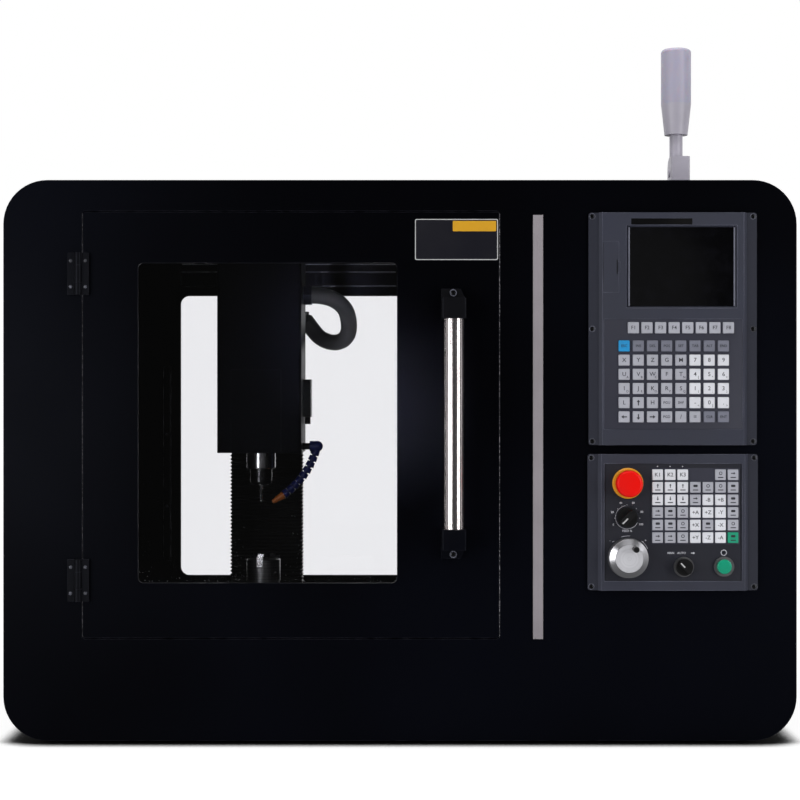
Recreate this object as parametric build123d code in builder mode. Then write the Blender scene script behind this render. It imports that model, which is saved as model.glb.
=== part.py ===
"""Enclosed benchtop milling machine with a swing door, control panels and a signal lamp.

Millimetres, +Z up, front towards -Y, origin under the middle of the whole object.
Depths are counted from the outer face of the front panel into the machine.
"""
from build123d import *
import os
from math import cos, radians, sin

os.makedirs("parts", exist_ok=True)

# Enclosure
overall_width = 1190.0
enclosure_height = 846.0
enclosure_depth = 700.0
corner_radius = 66.0
front_sheet = 3.0
sheet = 2.0
nest_clearance = 0.3
flange_depth = 20.0
seam_height = 120.0
lap_height = 24.0
foot_height = 5.0
foot_side = 44.0
foot_spacing_x = 470.0
foot_spacing_y = 560.0
cut_overrun = 1.0

# Door, window and rear window
door_left = -475.5
door_width = 624.0
door_bottom = 159.0
door_height = 639.0
door_gap = 1.5
door_corner = 4.0
door_depth = 20.0
stop_gap = 3.0
stop_width = 16.0
window_left = -393.0
window_width = 388.5
window_bottom = 241.5
window_height = 480.0
window_corner = 8.0
pane_lap = 16.0
pane_thickness = 5.0
seal_thickness = 2.0
seal_width = 14.0
rear_opening_left = -410.0
rear_opening_width = 430.0
rear_opening_bottom = 188.5
rear_opening_height = 522.0
rear_opening_corner = 16.0
strip_depth = 8.0
header_gap = 18.0
header_height = 27.0
side_strip_gap = 19.0
side_strip_width = 13.0
side_strip_bottom = 216.0
side_strip_height = 362.0
louvre_width = 90.0
louvre_height = 6.0
louvre_pitch = 22.0
louvre_rows = 9
louvre_columns = 2
louvre_column_pitch = 130.0
louvre_x = 395.0
louvre_z = 560.0

# Door handle
handle_x = 79.5
handle_bottom = 325.5
handle_length = 310.5
handle_radius = 15.0
handle_wall = 2.0
handle_standoff = 46.0
bracket_wall = 3.0
bracket_block_height = 30.0
bracket_tongue_height = 16.0
bracket_tongue_depth = 14.0
bracket_tongue_share = 0.62
socket_depth = 10.0
socket_clearance = 0.05

# Door hinges
hinge_offset = 6.5
hinge_low = 246.0
hinge_high = 705.0
hinge_height = 63.0
leaf_width = 10.0
leaf_thickness = 6.0
knuckle_radius = 5.5
knuckle_lift = 0.5
knuckle_gap = 0.5
knuckle_share = 0.4
pin_radius = 2.5
running_clearance = 0.05

# Light strip and partition
strip_x = 207.0
strip_width = 15.0
strip_bottom = 157.5
strip_height = 636.0
strip_proud = 1.2
strip_body_depth = 10.0
strip_body_inset = 1.5
partition_x = 176.0
partition_front = 40.0
cable_hole_radius = 22.0
module_depths = (150.0, 215.0, 280.0)
drive_width = 46.0
drive_reach = 130.0
drive_height = 160.0
drive_bottom = 420.0
inverter_depth = 420.0
inverter_width = 120.0
inverter_reach = 150.0
inverter_height = 210.0
supply_depth = 560.0
supply_width = 60.0
supply_reach = 110.0
supply_height = 220.0

# Bed, guides and ball screws
spindle_x = -234.0
spindle_depth = 350.0
bed_width = 220.0
bed_front = 195.0
bed_back = 645.0
bed_height = 77.0
land_height = 4.0
land_width = 34.0
pocket_depth = 12.0
pocket_height = 36.0
pocket_length = 170.0
slide_stack = 20.0
rail_width = 12.0
rail_height = 12.0
rail_waist = 1.2
carriage_width = 34.0
carriage_height = 17.0
carriage_length = 44.0
carriage_clearance = 0.3
y_rail_offset = 42.0
x_rail_offset = 50.0
z_rail_offset = 42.0
screw_radius = 6.0
journal_radius = 5.0
journal_length = 12.0
nut_clearance = 0.3
nut_width = 32.0
nut_length = 30.0
nut_face_gap = 0.6
lug_thickness = 14.0
lug_width = 60.0
screw_end_gap = 2.0

# Saddle, table and travel
saddle_width = 124.0
saddle_length = 150.0
saddle_thickness = 24.0
y_travel = 48.0
x_travel = 100.0
table_length = 360.0
table_width = 150.0
table_thickness = 42.0
slot_width = 10.0
slot_neck = 10.0
slot_head_width = 17.0
slot_head_height = 8.0
slot_pitch = 45.0
rail_end_margin = 1.0

# Motors
motor_side = 60.0
motor_body_side = 56.0
motor_corner = 6.0
motor_flange = 8.0
motor_body_length = 44.0
motor_cap_side = 50.0
motor_cap_length = 18.0
motor_plug_side = 16.0
motor_plug_height = 12.0

# Chuck
chuck_offset = 4.0
chuck_radius = 28.5
chuck_height = 59.0
chuck_bore_radius = 8.0
chuck_groove = 1.5
chuck_groove_height = 4.0
chuck_groove_share = 0.3
jaw_angles = (-100.0, 20.0, 140.0)
jaw_width = 10.0
jaw_inner = 9.5
jaw_length = 18.0
jaw_seat = 12.0
jaw_rise = 9.0
jaw_step = 4.0
jaw_step_share = 0.55
jaw_clearance = 0.15
key_square = 7.0
key_depth = 9.0

# Column and bellows
throat = 155.0
column_width = 114.0
column_depth = 115.0
column_top = 748.0
column_wall = 14.0
column_flange_width = 200.0
column_flange_height = 20.0
shelf_thickness = 12.0
shelf_overhang = 42.0
z_rail_bottom = 300.0
z_rail_top = 735.0
screw_foot_bottom = 270.0
screw_foot_height = 20.0
bellows_width = 128.0
bellows_depth = 27.0
bellows_fold = 3.0
bellows_wall = 3.0
bellows_count = 50
ledge_rise = 22.0
ledge_thickness = 6.0

# Head
head_bottom = 428.0
head_block_height = 117.0
head_block_width = 130.0
head_nose = 46.0
head_back_height = 242.0
head_back_depth = 30.0
rib_thickness = 14.0
cover_width = 140.0
cover_depth = 140.0
cover_front_offset = 50.0
cover_top = 770.0
cover_corner = 6.0
plate_width = 83.0
plate_height = 138.0
plate_rise = 1.2
plate_offset = -5.0
z_carriage_low = 475.0
z_carriage_high = 620.0
z_nut_height = 550.0
spindle_motor_side = 90.0
spindle_motor_length = 150.0
terminal_depth = 385.0
terminal_bottom = 487.0
terminal_height = 64.0
terminal_reach = 13.0
terminal_length = 44.0
terminal_nub_radius = 5.0
terminal_nub_length = 12.0

# Spindle, collet nut and cutter
spindle_radius = 22.0
nose_radius = 24.5
nose_height = 27.0
nose_gap = 0.5
nut_radius = 18.6
nut_height = 26.0
nut_chamfer = 3.0
nut_slot_width = 5.0
nut_slot_depth = 2.0
nut_slot_count = 6
cutter_radius = 3.0
cutter_length = 30.0
flute_length = 20.0
flute_radius = 1.6
flute_offset = 2.6
collet_radius = 12.0

# Coolant hose
hose_height = 438.0
hose_x = -139.0
stub_radius = 5.5
elbow_radius = 9.0
elbow_sleeve = 13.0
hose_start_angle = -111.0
hose_end_angle = -146.0
link_count = 8
link_pitch = 10.6
ball_radius = 5.2
socket_play = 0.2
link_neck_radius = 3.4
cup_radius = 7.4
cup_back_radius = 6.6
cup_back = 4.4
cup_rim = 2.4
link_bore = 2.0
elbow_throw = 13.0
nozzle_length = 26.0
nozzle_tip_radius = 3.2

# Conduit to the head
conduit_radius = 14.0
conduit_start_depth = 380.0
conduit_start_height = 694.0
conduit_right = -86.0
conduit_low = 590.0
conduit_loop_depth = 430.0
conduit_return_x = -120.0
conduit_return_depth = 540.0
conduit_end_height = 658.0
gland_radius = 18.0
gland_length = 14.0
gland_sides = 6
bend_share = 0.45

# Control panels
panel_x = 408.5
bezel_flange = 4.0
bezel_rise = 9.0
bezel_flange_width = 15.0
bezel_slope = 5.0
bezel_corner = 4.0
bezel_body_depth = 36.0
bezel_body_inset = 17.0
bezel_fit = 0.4
bezel_screw_radius = 3.6
bezel_screw_sink = 2.2
bezel_screw_inset = 5.5
main_screw_rows = (-1, 0, 1)
operator_screw_rows = (-1, 1)
main_width = 252.0
main_height = 348.0
main_bottom = 448.5
operator_width = 255.0
operator_height = 204.0
operator_bottom = 231.0
key_recess = 1.2
key_sheet = 1.0
key_rise = 2.6
key_taper = 8.0
key_field_width = 207.0
key_field_bottom = 472.0
key_field_height = 165.0
key_fit = 0.2
main_key = 16.8
main_key_pitch = 21.2
main_key_columns = 8
main_key_rows = 6
main_key_x = 409.2
main_key_z = 543.8
function_key = 17.0
function_key_pitch = 20.3
function_key_x = 420.0
function_key_z = 624.0
screen_x = 421.5
screen_z = 715.5
screen_width = 160.0
screen_height = 118.0
screen_recess = 4.0
screen_bevel = 3.0
glass_thickness = 2.0
name_strip_x = 391.5
name_strip_z = 783.0
name_strip_width = 92.0
name_strip_height = 9.5
name_strip_sink = 0.5
flap_left = 304.0
flap_width = 23.0
flap_bottom = 677.0
flap_height = 76.0
flap_thickness = 2.6
flap_gap = 0.35
flap_floor = 0.6
flap_lip_width = 2.0
flap_lip_height = 15.0
operator_field_width = 206.0
operator_field_height = 176.0
operator_recess = 2.0
operator_key = 16.2
operator_key_pitch = 18.8
operator_key_x = 385.2
operator_key_z = 404.2
operator_key_columns = 7
operator_key_rows = 6
operator_missing_columns = (3, 4)
key_mat_margin = 2.0

# Panel switches
estop_x = 340.5
estop_z = 391.5
estop_collar_radius = 23.0
estop_collar_height = 6.0
estop_stem_radius = 11.0
estop_head_radius = 20.0
estop_head_height = 15.0
estop_gap = 9.0
estop_stem_depth = 5.0
estop_fillet = 5.0
feed_x = 339.8
feed_z = 340.5
feed_skirt_radius = 15.0
feed_skirt_height = 4.0
feed_grip_radius = 11.0
feed_grip_height = 14.0
feed_pointer_angle = 225.0
wheel_x = 340.8
wheel_z = 280.0
wheel_base_radius = 30.0
wheel_base_height = 7.0
wheel_radius = 29.0
wheel_height = 14.0
wheel_face_radius = 21.0
wheel_bevel = 5.0
wheel_gap = 0.5
wheel_hub_radius = 10.0
finger_angle = 60.0
finger_offset = 17.0
finger_radius = 4.5
finger_length = 17.0
finger_pin_radius = 2.0
finger_gap = 0.4
mode_x = 424.2
mode_z = 266.5
switch_ring_radius = 15.0
switch_ring_height = 4.0
switch_bore_radius = 11.0
mode_knob_radius = 12.5
mode_knob_height = 9.0
mode_grip_width = 7.0
mode_grip_height = 9.0
mode_pointer_angle = 135.0
knob_gap = 0.5
start_x = 484.5
start_z = 267.0
start_cap_radius = 10.9
start_cap_height = 9.0
start_dome = 1.5
pointer_width = 2.2
pointer_depth = 0.8
grip_share = 0.92

# Signal lamp
lamp_inset = 146.4
lamp_depth = 205.0
lamp_foot_width = 30.0
lamp_foot_depth = 44.0
lamp_foot_height = 60.0
lamp_base_radius = 30.0
lamp_base_height = 5.0
lamp_pivot_height = 34.0
lamp_wall = 7.0
lamp_slot_width = 16.0
lamp_pivot_radius = 4.0
lamp_tang_radius = 9.0
lamp_pole_radius = 10.5
lamp_pole_offset = 4.3
lamp_pole_height = 36.0
lamp_cup_height = 50.0
lamp_cup_low_radius = 18.5
lamp_cup_radius = 24.0
lamp_lens_height = 88.0
lamp_lens_fillet = 6.0
lamp_lens_spigot = 4.0
lamp_lens_spigot_radius = 20.0
lamp_screw_radius = 6.0
lamp_screw_height = 2.0
lamp_clearance = 0.3
lamp_edge = 3.0

# Places worked out from the sizes above
handle_half = handle_radius + bracket_wall
handle_reach = handle_standoff + handle_half
overall_depth = handle_reach + enclosure_depth
front_y = handle_reach - overall_depth / 2
outline_height = enclosure_height - foot_height
outline_z = foot_height + outline_height / 2
floor_level = foot_height + sheet
wrap_depth = enclosure_depth - front_sheet - sheet
door_x = door_left + door_width / 2
door_z = door_bottom + door_height / 2
window_x = window_left + window_width / 2
window_z = window_bottom + window_height / 2
rear_x = rear_opening_left + rear_opening_width / 2
rear_z = rear_opening_bottom + rear_opening_height / 2
rear_inside = enclosure_depth - sheet
hinge_x = door_left - hinge_offset
hinge_depth = -knuckle_radius - knuckle_lift
bed_top = floor_level + bed_height
saddle_bottom = bed_top + slide_stack
saddle_top = saddle_bottom + saddle_thickness
table_bottom = saddle_top + slide_stack
table_top = table_bottom + table_thickness
y_screw_z = bed_top + slide_stack / 2
x_screw_z = saddle_top + slide_stack / 2
column_front = spindle_depth + throat
column_right = spindle_x + column_width / 2
head_back = column_front - slide_stack
z_screw_depth = column_front - slide_stack / 2
shelf_top = column_top + shelf_thickness
ledge_top = saddle_bottom + ledge_rise - column_flange_height + ledge_thickness
cover_front = spindle_depth - cover_front_offset
cover_right = spindle_x + cover_width / 2
chuck_x = spindle_x + chuck_offset
chuck_top = table_top + chuck_height
nose_bottom = head_bottom - nose_gap - nose_height
nut_bottom = nose_bottom - nut_height
main_z = main_bottom + main_height / 2
operator_z = operator_bottom + operator_height / 2
face_depth = -bezel_rise
operator_floor = face_depth + operator_recess
flap_axis_x = flap_left + flap_thickness / 2
flap_axis_depth = face_depth + flap_thickness / 2
lamp_x = overall_width / 2 - lamp_inset
lamp_pole_x = lamp_x - lamp_pole_offset
lamp_pivot_z = enclosure_height + lamp_pivot_height
lamp_pole_bottom = enclosure_height + lamp_foot_height
lamp_cup_bottom = lamp_pole_bottom + lamp_pole_height
lamp_lens_bottom = lamp_cup_bottom + lamp_cup_height


def at_depth(depth):
    """Upright plane at a depth; its sketch axes are world X and Z, its normal faces the viewer."""
    return Plane(origin=(0, front_y + depth, 0), x_dir=(1, 0, 0), z_dir=(0, -1, 0))


def across(x):
    """Upright plane facing +X; its sketch axes are world Y and Z."""
    return Plane.YZ.offset(x)


def level(z):
    """Level plane; its sketch axes are world X and Y."""
    return Plane.XY.offset(z)


def y_at(depth):
    """World Y of a depth."""
    return front_y + depth


def rounded(x, z, width, height, radius, mode=Mode.ADD):
    """Rounded rectangle centred at x, z of an upright sketch."""
    with Locations((x, z)):
        RectangleRounded(width, height, radius, mode=mode)


def ring(x, z, width, height, radius, wall):
    """Closed band just inside a rounded rectangle."""
    rounded(x, z, width, height, radius)
    rounded(x, z, width - 2 * wall, height - 2 * wall, max(radius - wall, wall / 2), Mode.SUBTRACT)


def nest_flange(plane, amount):
    """Return flange that nests inside the rolled skin."""
    inset = sheet + nest_clearance
    with BuildSketch(plane) as band:
        ring(0, outline_z, overall_width - 2 * inset, outline_height - 2 * inset,
             corner_radius - inset, sheet)
    extrude(band.sketch, amount=amount)


def block(x_range, depth_range, z_range, mode=Mode.ADD):
    """Box between two X, two depths and two heights."""
    with BuildSketch(at_depth(depth_range[0])) as section:
        with Locations((sum(x_range) / 2, sum(z_range) / 2)):
            Rectangle(x_range[1] - x_range[0], z_range[1] - z_range[0])
    extrude(section.sketch, amount=depth_range[0] - depth_range[1], mode=mode)


def post(x, z, radius, depth_range, mode=Mode.ADD):
    """Round pin along Y between two depths."""
    with BuildSketch(at_depth(depth_range[0])) as section:
        with Locations((x, z)):
            Circle(radius)
    extrude(section.sketch, amount=depth_range[0] - depth_range[1], mode=mode)


def stand(x, depth, radius, z_range, mode=Mode.ADD):
    """Round pin along Z between two heights."""
    with BuildSketch(level(z_range[0])) as section:
        with Locations((x, y_at(depth))):
            Circle(radius)
    extrude(section.sketch, amount=z_range[1] - z_range[0], mode=mode)


def bar(depth, z, radius, x_range, mode=Mode.ADD):
    """Round pin along X between two places."""
    with BuildSketch(across(x_range[0])) as section:
        with Locations((y_at(depth), z)):
            Circle(radius)
    extrude(section.sketch, amount=x_range[1] - x_range[0], mode=mode)


# Rolled skin: hood above the seam, pan below it
with BuildPart() as hood:
    with BuildSketch(at_depth(front_sheet)):
        ring(0, outline_z, overall_width, outline_height, corner_radius, sheet)
    extrude(amount=-wrap_depth)
    split(bisect_by=level(seam_height), keep=Keep.TOP)
    stand(lamp_x, lamp_depth, lamp_pivot_radius,
          (enclosure_height - sheet - cut_overrun, enclosure_height + cut_overrun), Mode.SUBTRACT)

with BuildPart() as base_pan:
    with BuildSketch(at_depth(front_sheet)):
        ring(0, outline_z, overall_width, outline_height, corner_radius, sheet)
    extrude(amount=-wrap_depth)
    split(bisect_by=level(seam_height), keep=Keep.BOTTOM)
    lap_front = front_sheet + flange_depth + sheet
    lap_back = rear_inside - flange_depth - sheet
    for side in (-1, 1):
        wall_x = side * (overall_width / 2 - sheet)
        lap_x = wall_x - side * nest_clearance
        lap_in = lap_x - side * sheet
        low, high = sorted((wall_x, lap_in))
        block((low, high), (lap_front, lap_back), (seam_height - lap_height, seam_height))
        low, high = sorted((lap_x, lap_in))
        block((low, high), (lap_front, lap_back), (seam_height, seam_height + lap_height))

with BuildPart() as rubber_feet:
    with BuildSketch(level(0)):
        with Locations((0, y_at(enclosure_depth / 2))):
            with GridLocations(foot_spacing_x, foot_spacing_y, 3, 2):
                RectangleRounded(foot_side, foot_side, foot_side / 8)
    extrude(amount=foot_height)

# Front panel: rounded plate, nested return, door jamb with a stop, panel cut-outs
jamb_width = door_width + 2 * door_gap
jamb_height = door_height + 2 * door_gap
jamb_back = door_depth + stop_gap
with BuildPart() as front_panel:
    with BuildSketch(at_depth(0)):
        rounded(0, outline_z, overall_width, outline_height, corner_radius)
        rounded(door_x, door_z, jamb_width, jamb_height, door_corner + door_gap, Mode.SUBTRACT)
        with Locations((panel_x, main_z)):
            Rectangle(main_width - 2 * bezel_body_inset, main_height - 2 * bezel_body_inset,
                      mode=Mode.SUBTRACT)
        with Locations((panel_x, operator_z)):
            Rectangle(operator_width - 2 * bezel_body_inset,
                      operator_height - 2 * bezel_body_inset, mode=Mode.SUBTRACT)
        with Locations((strip_x, strip_bottom + strip_height / 2)):
            Rectangle(strip_width - 2 * strip_body_inset, strip_height - 2 * strip_body_inset,
                      mode=Mode.SUBTRACT)
    extrude(amount=-front_sheet)
    nest_flange(at_depth(front_sheet), -flange_depth)
    with BuildSketch(at_depth(front_sheet)):
        ring(door_x, door_z, jamb_width + 2 * sheet, jamb_height + 2 * sheet,
             door_corner + door_gap + sheet, sheet)
    extrude(amount=front_sheet - jamb_back)
    with BuildSketch(at_depth(jamb_back)):
        ring(door_x, door_z, jamb_width + 2 * sheet, jamb_height + 2 * sheet,
             door_corner + door_gap + sheet, stop_width)
    extrude(amount=-sheet)

# Rear panel with a glazed opening and cabinet louvres
with BuildPart() as rear_panel:
    with BuildSketch(at_depth(rear_inside)):
        rounded(0, outline_z, overall_width, outline_height, corner_radius)
        rounded(rear_x, rear_z, rear_opening_width, rear_opening_height, rear_opening_corner,
                Mode.SUBTRACT)
        with Locations((louvre_x, louvre_z)):
            with GridLocations(louvre_column_pitch, louvre_pitch, louvre_columns, louvre_rows):
                SlotOverall(louvre_width, louvre_height, mode=Mode.SUBTRACT)
    extrude(amount=-sheet)
    nest_flange(at_depth(rear_inside), flange_depth)
    header_bottom = rear_opening_bottom + rear_opening_height + header_gap
    block((rear_opening_left, rear_opening_left + rear_opening_width),
          (rear_inside - strip_depth, rear_inside),
          (header_bottom, header_bottom + header_height))
    strip_right = rear_opening_left - side_strip_gap
    block((strip_right - side_strip_width, strip_right),
          (rear_inside - strip_depth, rear_inside),
          (side_strip_bottom, side_strip_bottom + side_strip_height))

with BuildPart() as rear_window:
    with BuildSketch(at_depth(rear_inside - pane_thickness)):
        rounded(rear_x, rear_z, rear_opening_width + 2 * pane_lap,
                rear_opening_height + 2 * pane_lap, rear_opening_corner)
    extrude(amount=-pane_thickness)

# Door: folded pan, bonded window and its gasket
with BuildPart() as door_panel:
    with BuildSketch(at_depth(0)):
        rounded(door_x, door_z, door_width, door_height, door_corner)
        rounded(window_x, window_z, window_width, window_height, window_corner, Mode.SUBTRACT)
    extrude(amount=-sheet)
    with BuildSketch(at_depth(sheet)):
        ring(door_x, door_z, door_width, door_height, door_corner, sheet)
    extrude(amount=sheet - door_depth)

with BuildPart() as window_seal:
    with BuildSketch(at_depth(sheet)):
        ring(window_x, window_z, window_width + 2 * seal_width, window_height + 2 * seal_width,
             window_corner + seal_width, seal_width)
    extrude(amount=-seal_thickness)

with BuildPart() as door_window:
    with BuildSketch(at_depth(sheet + seal_thickness)):
        rounded(window_x, window_z, window_width + 2 * pane_lap, window_height + 2 * pane_lap,
                window_corner)
    extrude(amount=-pane_thickness)

# Handle: tube held in two cast brackets
handle_top = handle_bottom + handle_length
with BuildPart() as handle_tube:
    with BuildSketch(level(handle_bottom - socket_depth)):
        with Locations((handle_x, y_at(-handle_standoff))):
            Circle(handle_radius)
            Circle(handle_radius - handle_wall, mode=Mode.SUBTRACT)
    extrude(amount=handle_length + 2 * socket_depth)

with BuildPart() as handle_brackets:
    for end, away in ((handle_bottom, -1), (handle_top, 1)):
        far = end + away * bracket_block_height
        tip = far + away * bracket_tongue_height
        with BuildSketch(across(handle_x)):
            with BuildLine():
                Polyline((y_at(0), end), (y_at(-handle_reach), end), (y_at(-handle_reach), far),
                         (y_at(-bracket_tongue_depth), far), (y_at(-bracket_tongue_depth), tip),
                         (y_at(0), tip), close=True)
            make_face()
        extrude(amount=handle_half, both=True)
        cut_near, cut_far = sorted((far, tip + away * cut_overrun))
        with BuildSketch(at_depth(0)):
            with BuildLine():
                slim = handle_half * bracket_tongue_share
                wide = handle_half + cut_overrun
                Polyline((handle_x + handle_half, far), (handle_x + slim, tip),
                         (handle_x + slim, tip + away * cut_overrun),
                         (handle_x + wide, tip + away * cut_overrun), (handle_x + wide, far),
                         close=True)
                Polyline((handle_x - handle_half, far), (handle_x - slim, tip),
                         (handle_x - slim, tip + away * cut_overrun),
                         (handle_x - wide, tip + away * cut_overrun), (handle_x - wide, far),
                         close=True)
            make_face()
        extrude(amount=bracket_tongue_depth + cut_overrun, mode=Mode.SUBTRACT)
        socket = sorted((end, end + away * socket_depth))
        stand(handle_x, -handle_standoff, handle_radius + socket_clearance, socket, Mode.SUBTRACT)
    fillet(handle_brackets.edges().filter_by(Axis.Z).group_by(Axis.Y)[0], bracket_wall)

# Block hinges: the fixed half carries the pin and the middle knuckle
hinge_heights = (hinge_low, hinge_high)
knuckle_middle = hinge_height * knuckle_share
with BuildPart() as hinge_posts:
    for middle in hinge_heights:
        low = middle - hinge_height / 2
        high = middle + hinge_height / 2
        edge = hinge_x - knuckle_radius - knuckle_gap
        block((edge - leaf_width, edge), (-leaf_thickness, 0), (low, high))
        span = (middle - knuckle_middle / 2, middle + knuckle_middle / 2)
        stand(hinge_x, hinge_depth, knuckle_radius, span)
        block((edge, hinge_x), (hinge_depth, 0), span)
        stand(hinge_x, hinge_depth, pin_radius, (low, high))

with BuildPart() as hinge_leaves:
    for middle in hinge_heights:
        low = middle - hinge_height / 2
        high = middle + hinge_height / 2
        edge = hinge_x + knuckle_radius + knuckle_gap
        block((edge, edge + leaf_width), (-leaf_thickness, 0), (low, high))
        for span in ((low, middle - knuckle_middle / 2 - knuckle_gap),
                     (middle + knuckle_middle / 2 + knuckle_gap, high)):
            stand(hinge_x, hinge_depth, knuckle_radius, span)
            block((hinge_x, edge), (hinge_depth, -knuckle_lift), span)
            stand(hinge_x, hinge_depth, pin_radius + running_clearance, span, Mode.SUBTRACT)

# Light strip beside the door
with BuildPart() as light_strip:
    strip_z = strip_bottom + strip_height / 2
    with BuildSketch(at_depth(0)):
        with Locations((strip_x, strip_z)):
            Rectangle(strip_width, strip_height)
    extrude(amount=strip_proud)
    body_inset = strip_body_inset + nest_clearance
    with BuildSketch(at_depth(0)):
        with Locations((strip_x, strip_z)):
            Rectangle(strip_width - 2 * body_inset, strip_height - 2 * body_inset)
    extrude(amount=-strip_body_depth)

# Cabinet wall and the electrical modules hung on it
partition_back = rear_inside - flange_depth - sheet
with BuildPart() as cabinet_partition:
    block((partition_x, partition_x + sheet), (partition_front, partition_back),
          (floor_level, enclosure_height - sheet))
    bar(inverter_depth, drive_bottom / 2, cable_hole_radius,
        (partition_x - cut_overrun, partition_x + sheet + cut_overrun), Mode.SUBTRACT)

modules = [(depth, drive_width, drive_reach, drive_height) for depth in module_depths]
modules.append((inverter_depth, inverter_width, inverter_reach, inverter_height))
modules.append((supply_depth, supply_width, supply_reach, supply_height))
with BuildPart() as cabinet_modules:
    for depth, width, reach, height in modules:
        block((partition_x + sheet, partition_x + sheet + reach),
              (depth - width / 2, depth + width / 2), (drive_bottom, drive_bottom + height))

# Bed casting with guide lands, side pockets and screw lugs
bed_left = spindle_x - bed_width / 2
bed_right = spindle_x + bed_width / 2
y_reach = saddle_length / 2 + y_travel + rail_end_margin
y_guide = (spindle_depth - y_reach, spindle_depth + y_reach)
lug_top = y_screw_z + motor_side / 2
rear_lug_front = column_front - lug_thickness - screw_end_gap
with BuildPart() as bed:
    block((bed_left, bed_right), (bed_front, bed_back), (floor_level, bed_top - land_height))
    fillet(bed.edges().filter_by(Axis.Z), land_height)
    for side in (-1, 1):
        rail_x = spindle_x + side * y_rail_offset
        block((rail_x - land_width / 2, rail_x + land_width / 2), y_guide,
              (bed_top - land_height, bed_top))
        face_x = spindle_x + side * bed_width / 2
        with BuildSketch(across(face_x)):
            with Locations((y_at((bed_front + bed_back) / 2), floor_level + bed_height / 2)):
                with GridLocations(pocket_length + pocket_depth, 0, 2, 1):
                    RectangleRounded(pocket_length, pocket_height, pocket_depth / 2)
        extrude(amount=-side * pocket_depth, mode=Mode.SUBTRACT)
    block((bed_left, bed_right), (column_front, bed_back), (bed_top - land_height, bed_top))
    block((spindle_x - lug_width / 2, spindle_x + lug_width / 2),
          (bed_front, bed_front + lug_thickness), (bed_top - land_height, lug_top))
    block((spindle_x - nut_width / 2, spindle_x + nut_width / 2),
          (rear_lug_front, rear_lug_front + lug_thickness),
          (bed_top - land_height, saddle_bottom - cut_overrun))
    post(spindle_x, y_screw_z, journal_radius + running_clearance,
         (bed_front - cut_overrun, rear_lug_front + lug_thickness + cut_overrun), Mode.SUBTRACT)

# Column with a base flange, screw foot, bellows ledge, motor shelf and conduit gland
column_back = column_front + column_depth
with BuildPart() as column:
    block((spindle_x - column_width / 2, spindle_x + column_width / 2),
          (column_front, column_back), (bed_top, column_top))
    fillet(column.edges().filter_by(Axis.Z).group_by(Axis.Y)[-1], column_wall)
    block((spindle_x - column_width / 2 + column_wall, spindle_x + column_width / 2 - column_wall),
          (column_front + column_wall, column_back - column_wall),
          (bed_top + column_flange_height, column_top), Mode.SUBTRACT)
    block((spindle_x - column_flange_width / 2, spindle_x + column_flange_width / 2),
          (column_front, bed_back), (bed_top, bed_top + column_flange_height))
    block((spindle_x - column_width / 2, spindle_x + column_width / 2),
          (column_front - shelf_overhang, column_back), (column_top, shelf_top))
    block((spindle_x - nut_width / 2, spindle_x + nut_width / 2),
          (column_front - slide_stack + screw_end_gap, column_front),
          (screw_foot_bottom, screw_foot_bottom + screw_foot_height))
    stand(spindle_x, z_screw_depth, journal_radius + running_clearance,
          (screw_foot_bottom + screw_end_gap, shelf_top + cut_overrun), Mode.SUBTRACT)
    block((spindle_x - bellows_width / 2, spindle_x + bellows_width / 2),
          (column_front - screw_end_gap - bellows_depth, column_front),
          (ledge_top - ledge_thickness, ledge_top))
    with BuildSketch(across(column_right)):
        with Locations((y_at(conduit_return_depth), conduit_end_height)):
            RegularPolygon(gland_radius, gland_sides)
    extrude(amount=gland_length)


def rail_section():
    """Guide rail section standing on the sketch origin, waisted for its balls."""
    half = rail_width / 2
    waist = half - rail_waist
    with BuildLine() as outline:
        Polyline((-half, 0), (half, 0), (half, rail_height / 3), (waist, rail_height / 2),
                 (waist, rail_height * 2 / 3), (half, rail_height * 5 / 6), (half, rail_height),
                 (-half, rail_height), (-half, rail_height * 5 / 6), (-waist, rail_height * 2 / 3),
                 (-waist, rail_height / 2), (-half, rail_height / 3), close=True)
    make_face(outline.edges())


def carriage_section():
    """Carriage section hanging from its carrier at the full stack height."""
    low = slide_stack - carriage_height
    bore = rail_width / 2 + carriage_clearance
    roof = rail_height + carriage_clearance
    half = carriage_width / 2
    with BuildLine() as outline:
        Polyline((-half, low), (-bore, low), (-bore, roof), (bore, roof), (bore, low),
                 (half, low), (half, slide_stack), (-half, slide_stack), close=True)
    make_face(outline.edges())


def guide_plane(origin, x_dir, up):
    """Sketch plane across a guide: x across the rail, y away from its mounting face."""
    across_dir = Vector(*x_dir)
    return Plane(origin=origin, x_dir=x_dir, z_dir=tuple(across_dir.cross(Vector(*up))))


# Guide rails of the cross slide and of the column
with BuildPart() as guide_rails:
    for side in (-1, 1):
        with BuildSketch(guide_plane((spindle_x + side * y_rail_offset, y_at(y_guide[1]), bed_top),
                                     (1, 0, 0), (0, 0, 1))):
            rail_section()
        extrude(amount=y_guide[1] - y_guide[0])
    for side in (-1, 1):
        with BuildSketch(guide_plane((spindle_x + side * z_rail_offset, y_at(column_front),
                                      z_rail_bottom), (-1, 0, 0), (0, -1, 0))):
            rail_section()
        extrude(amount=z_rail_top - z_rail_bottom)

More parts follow.
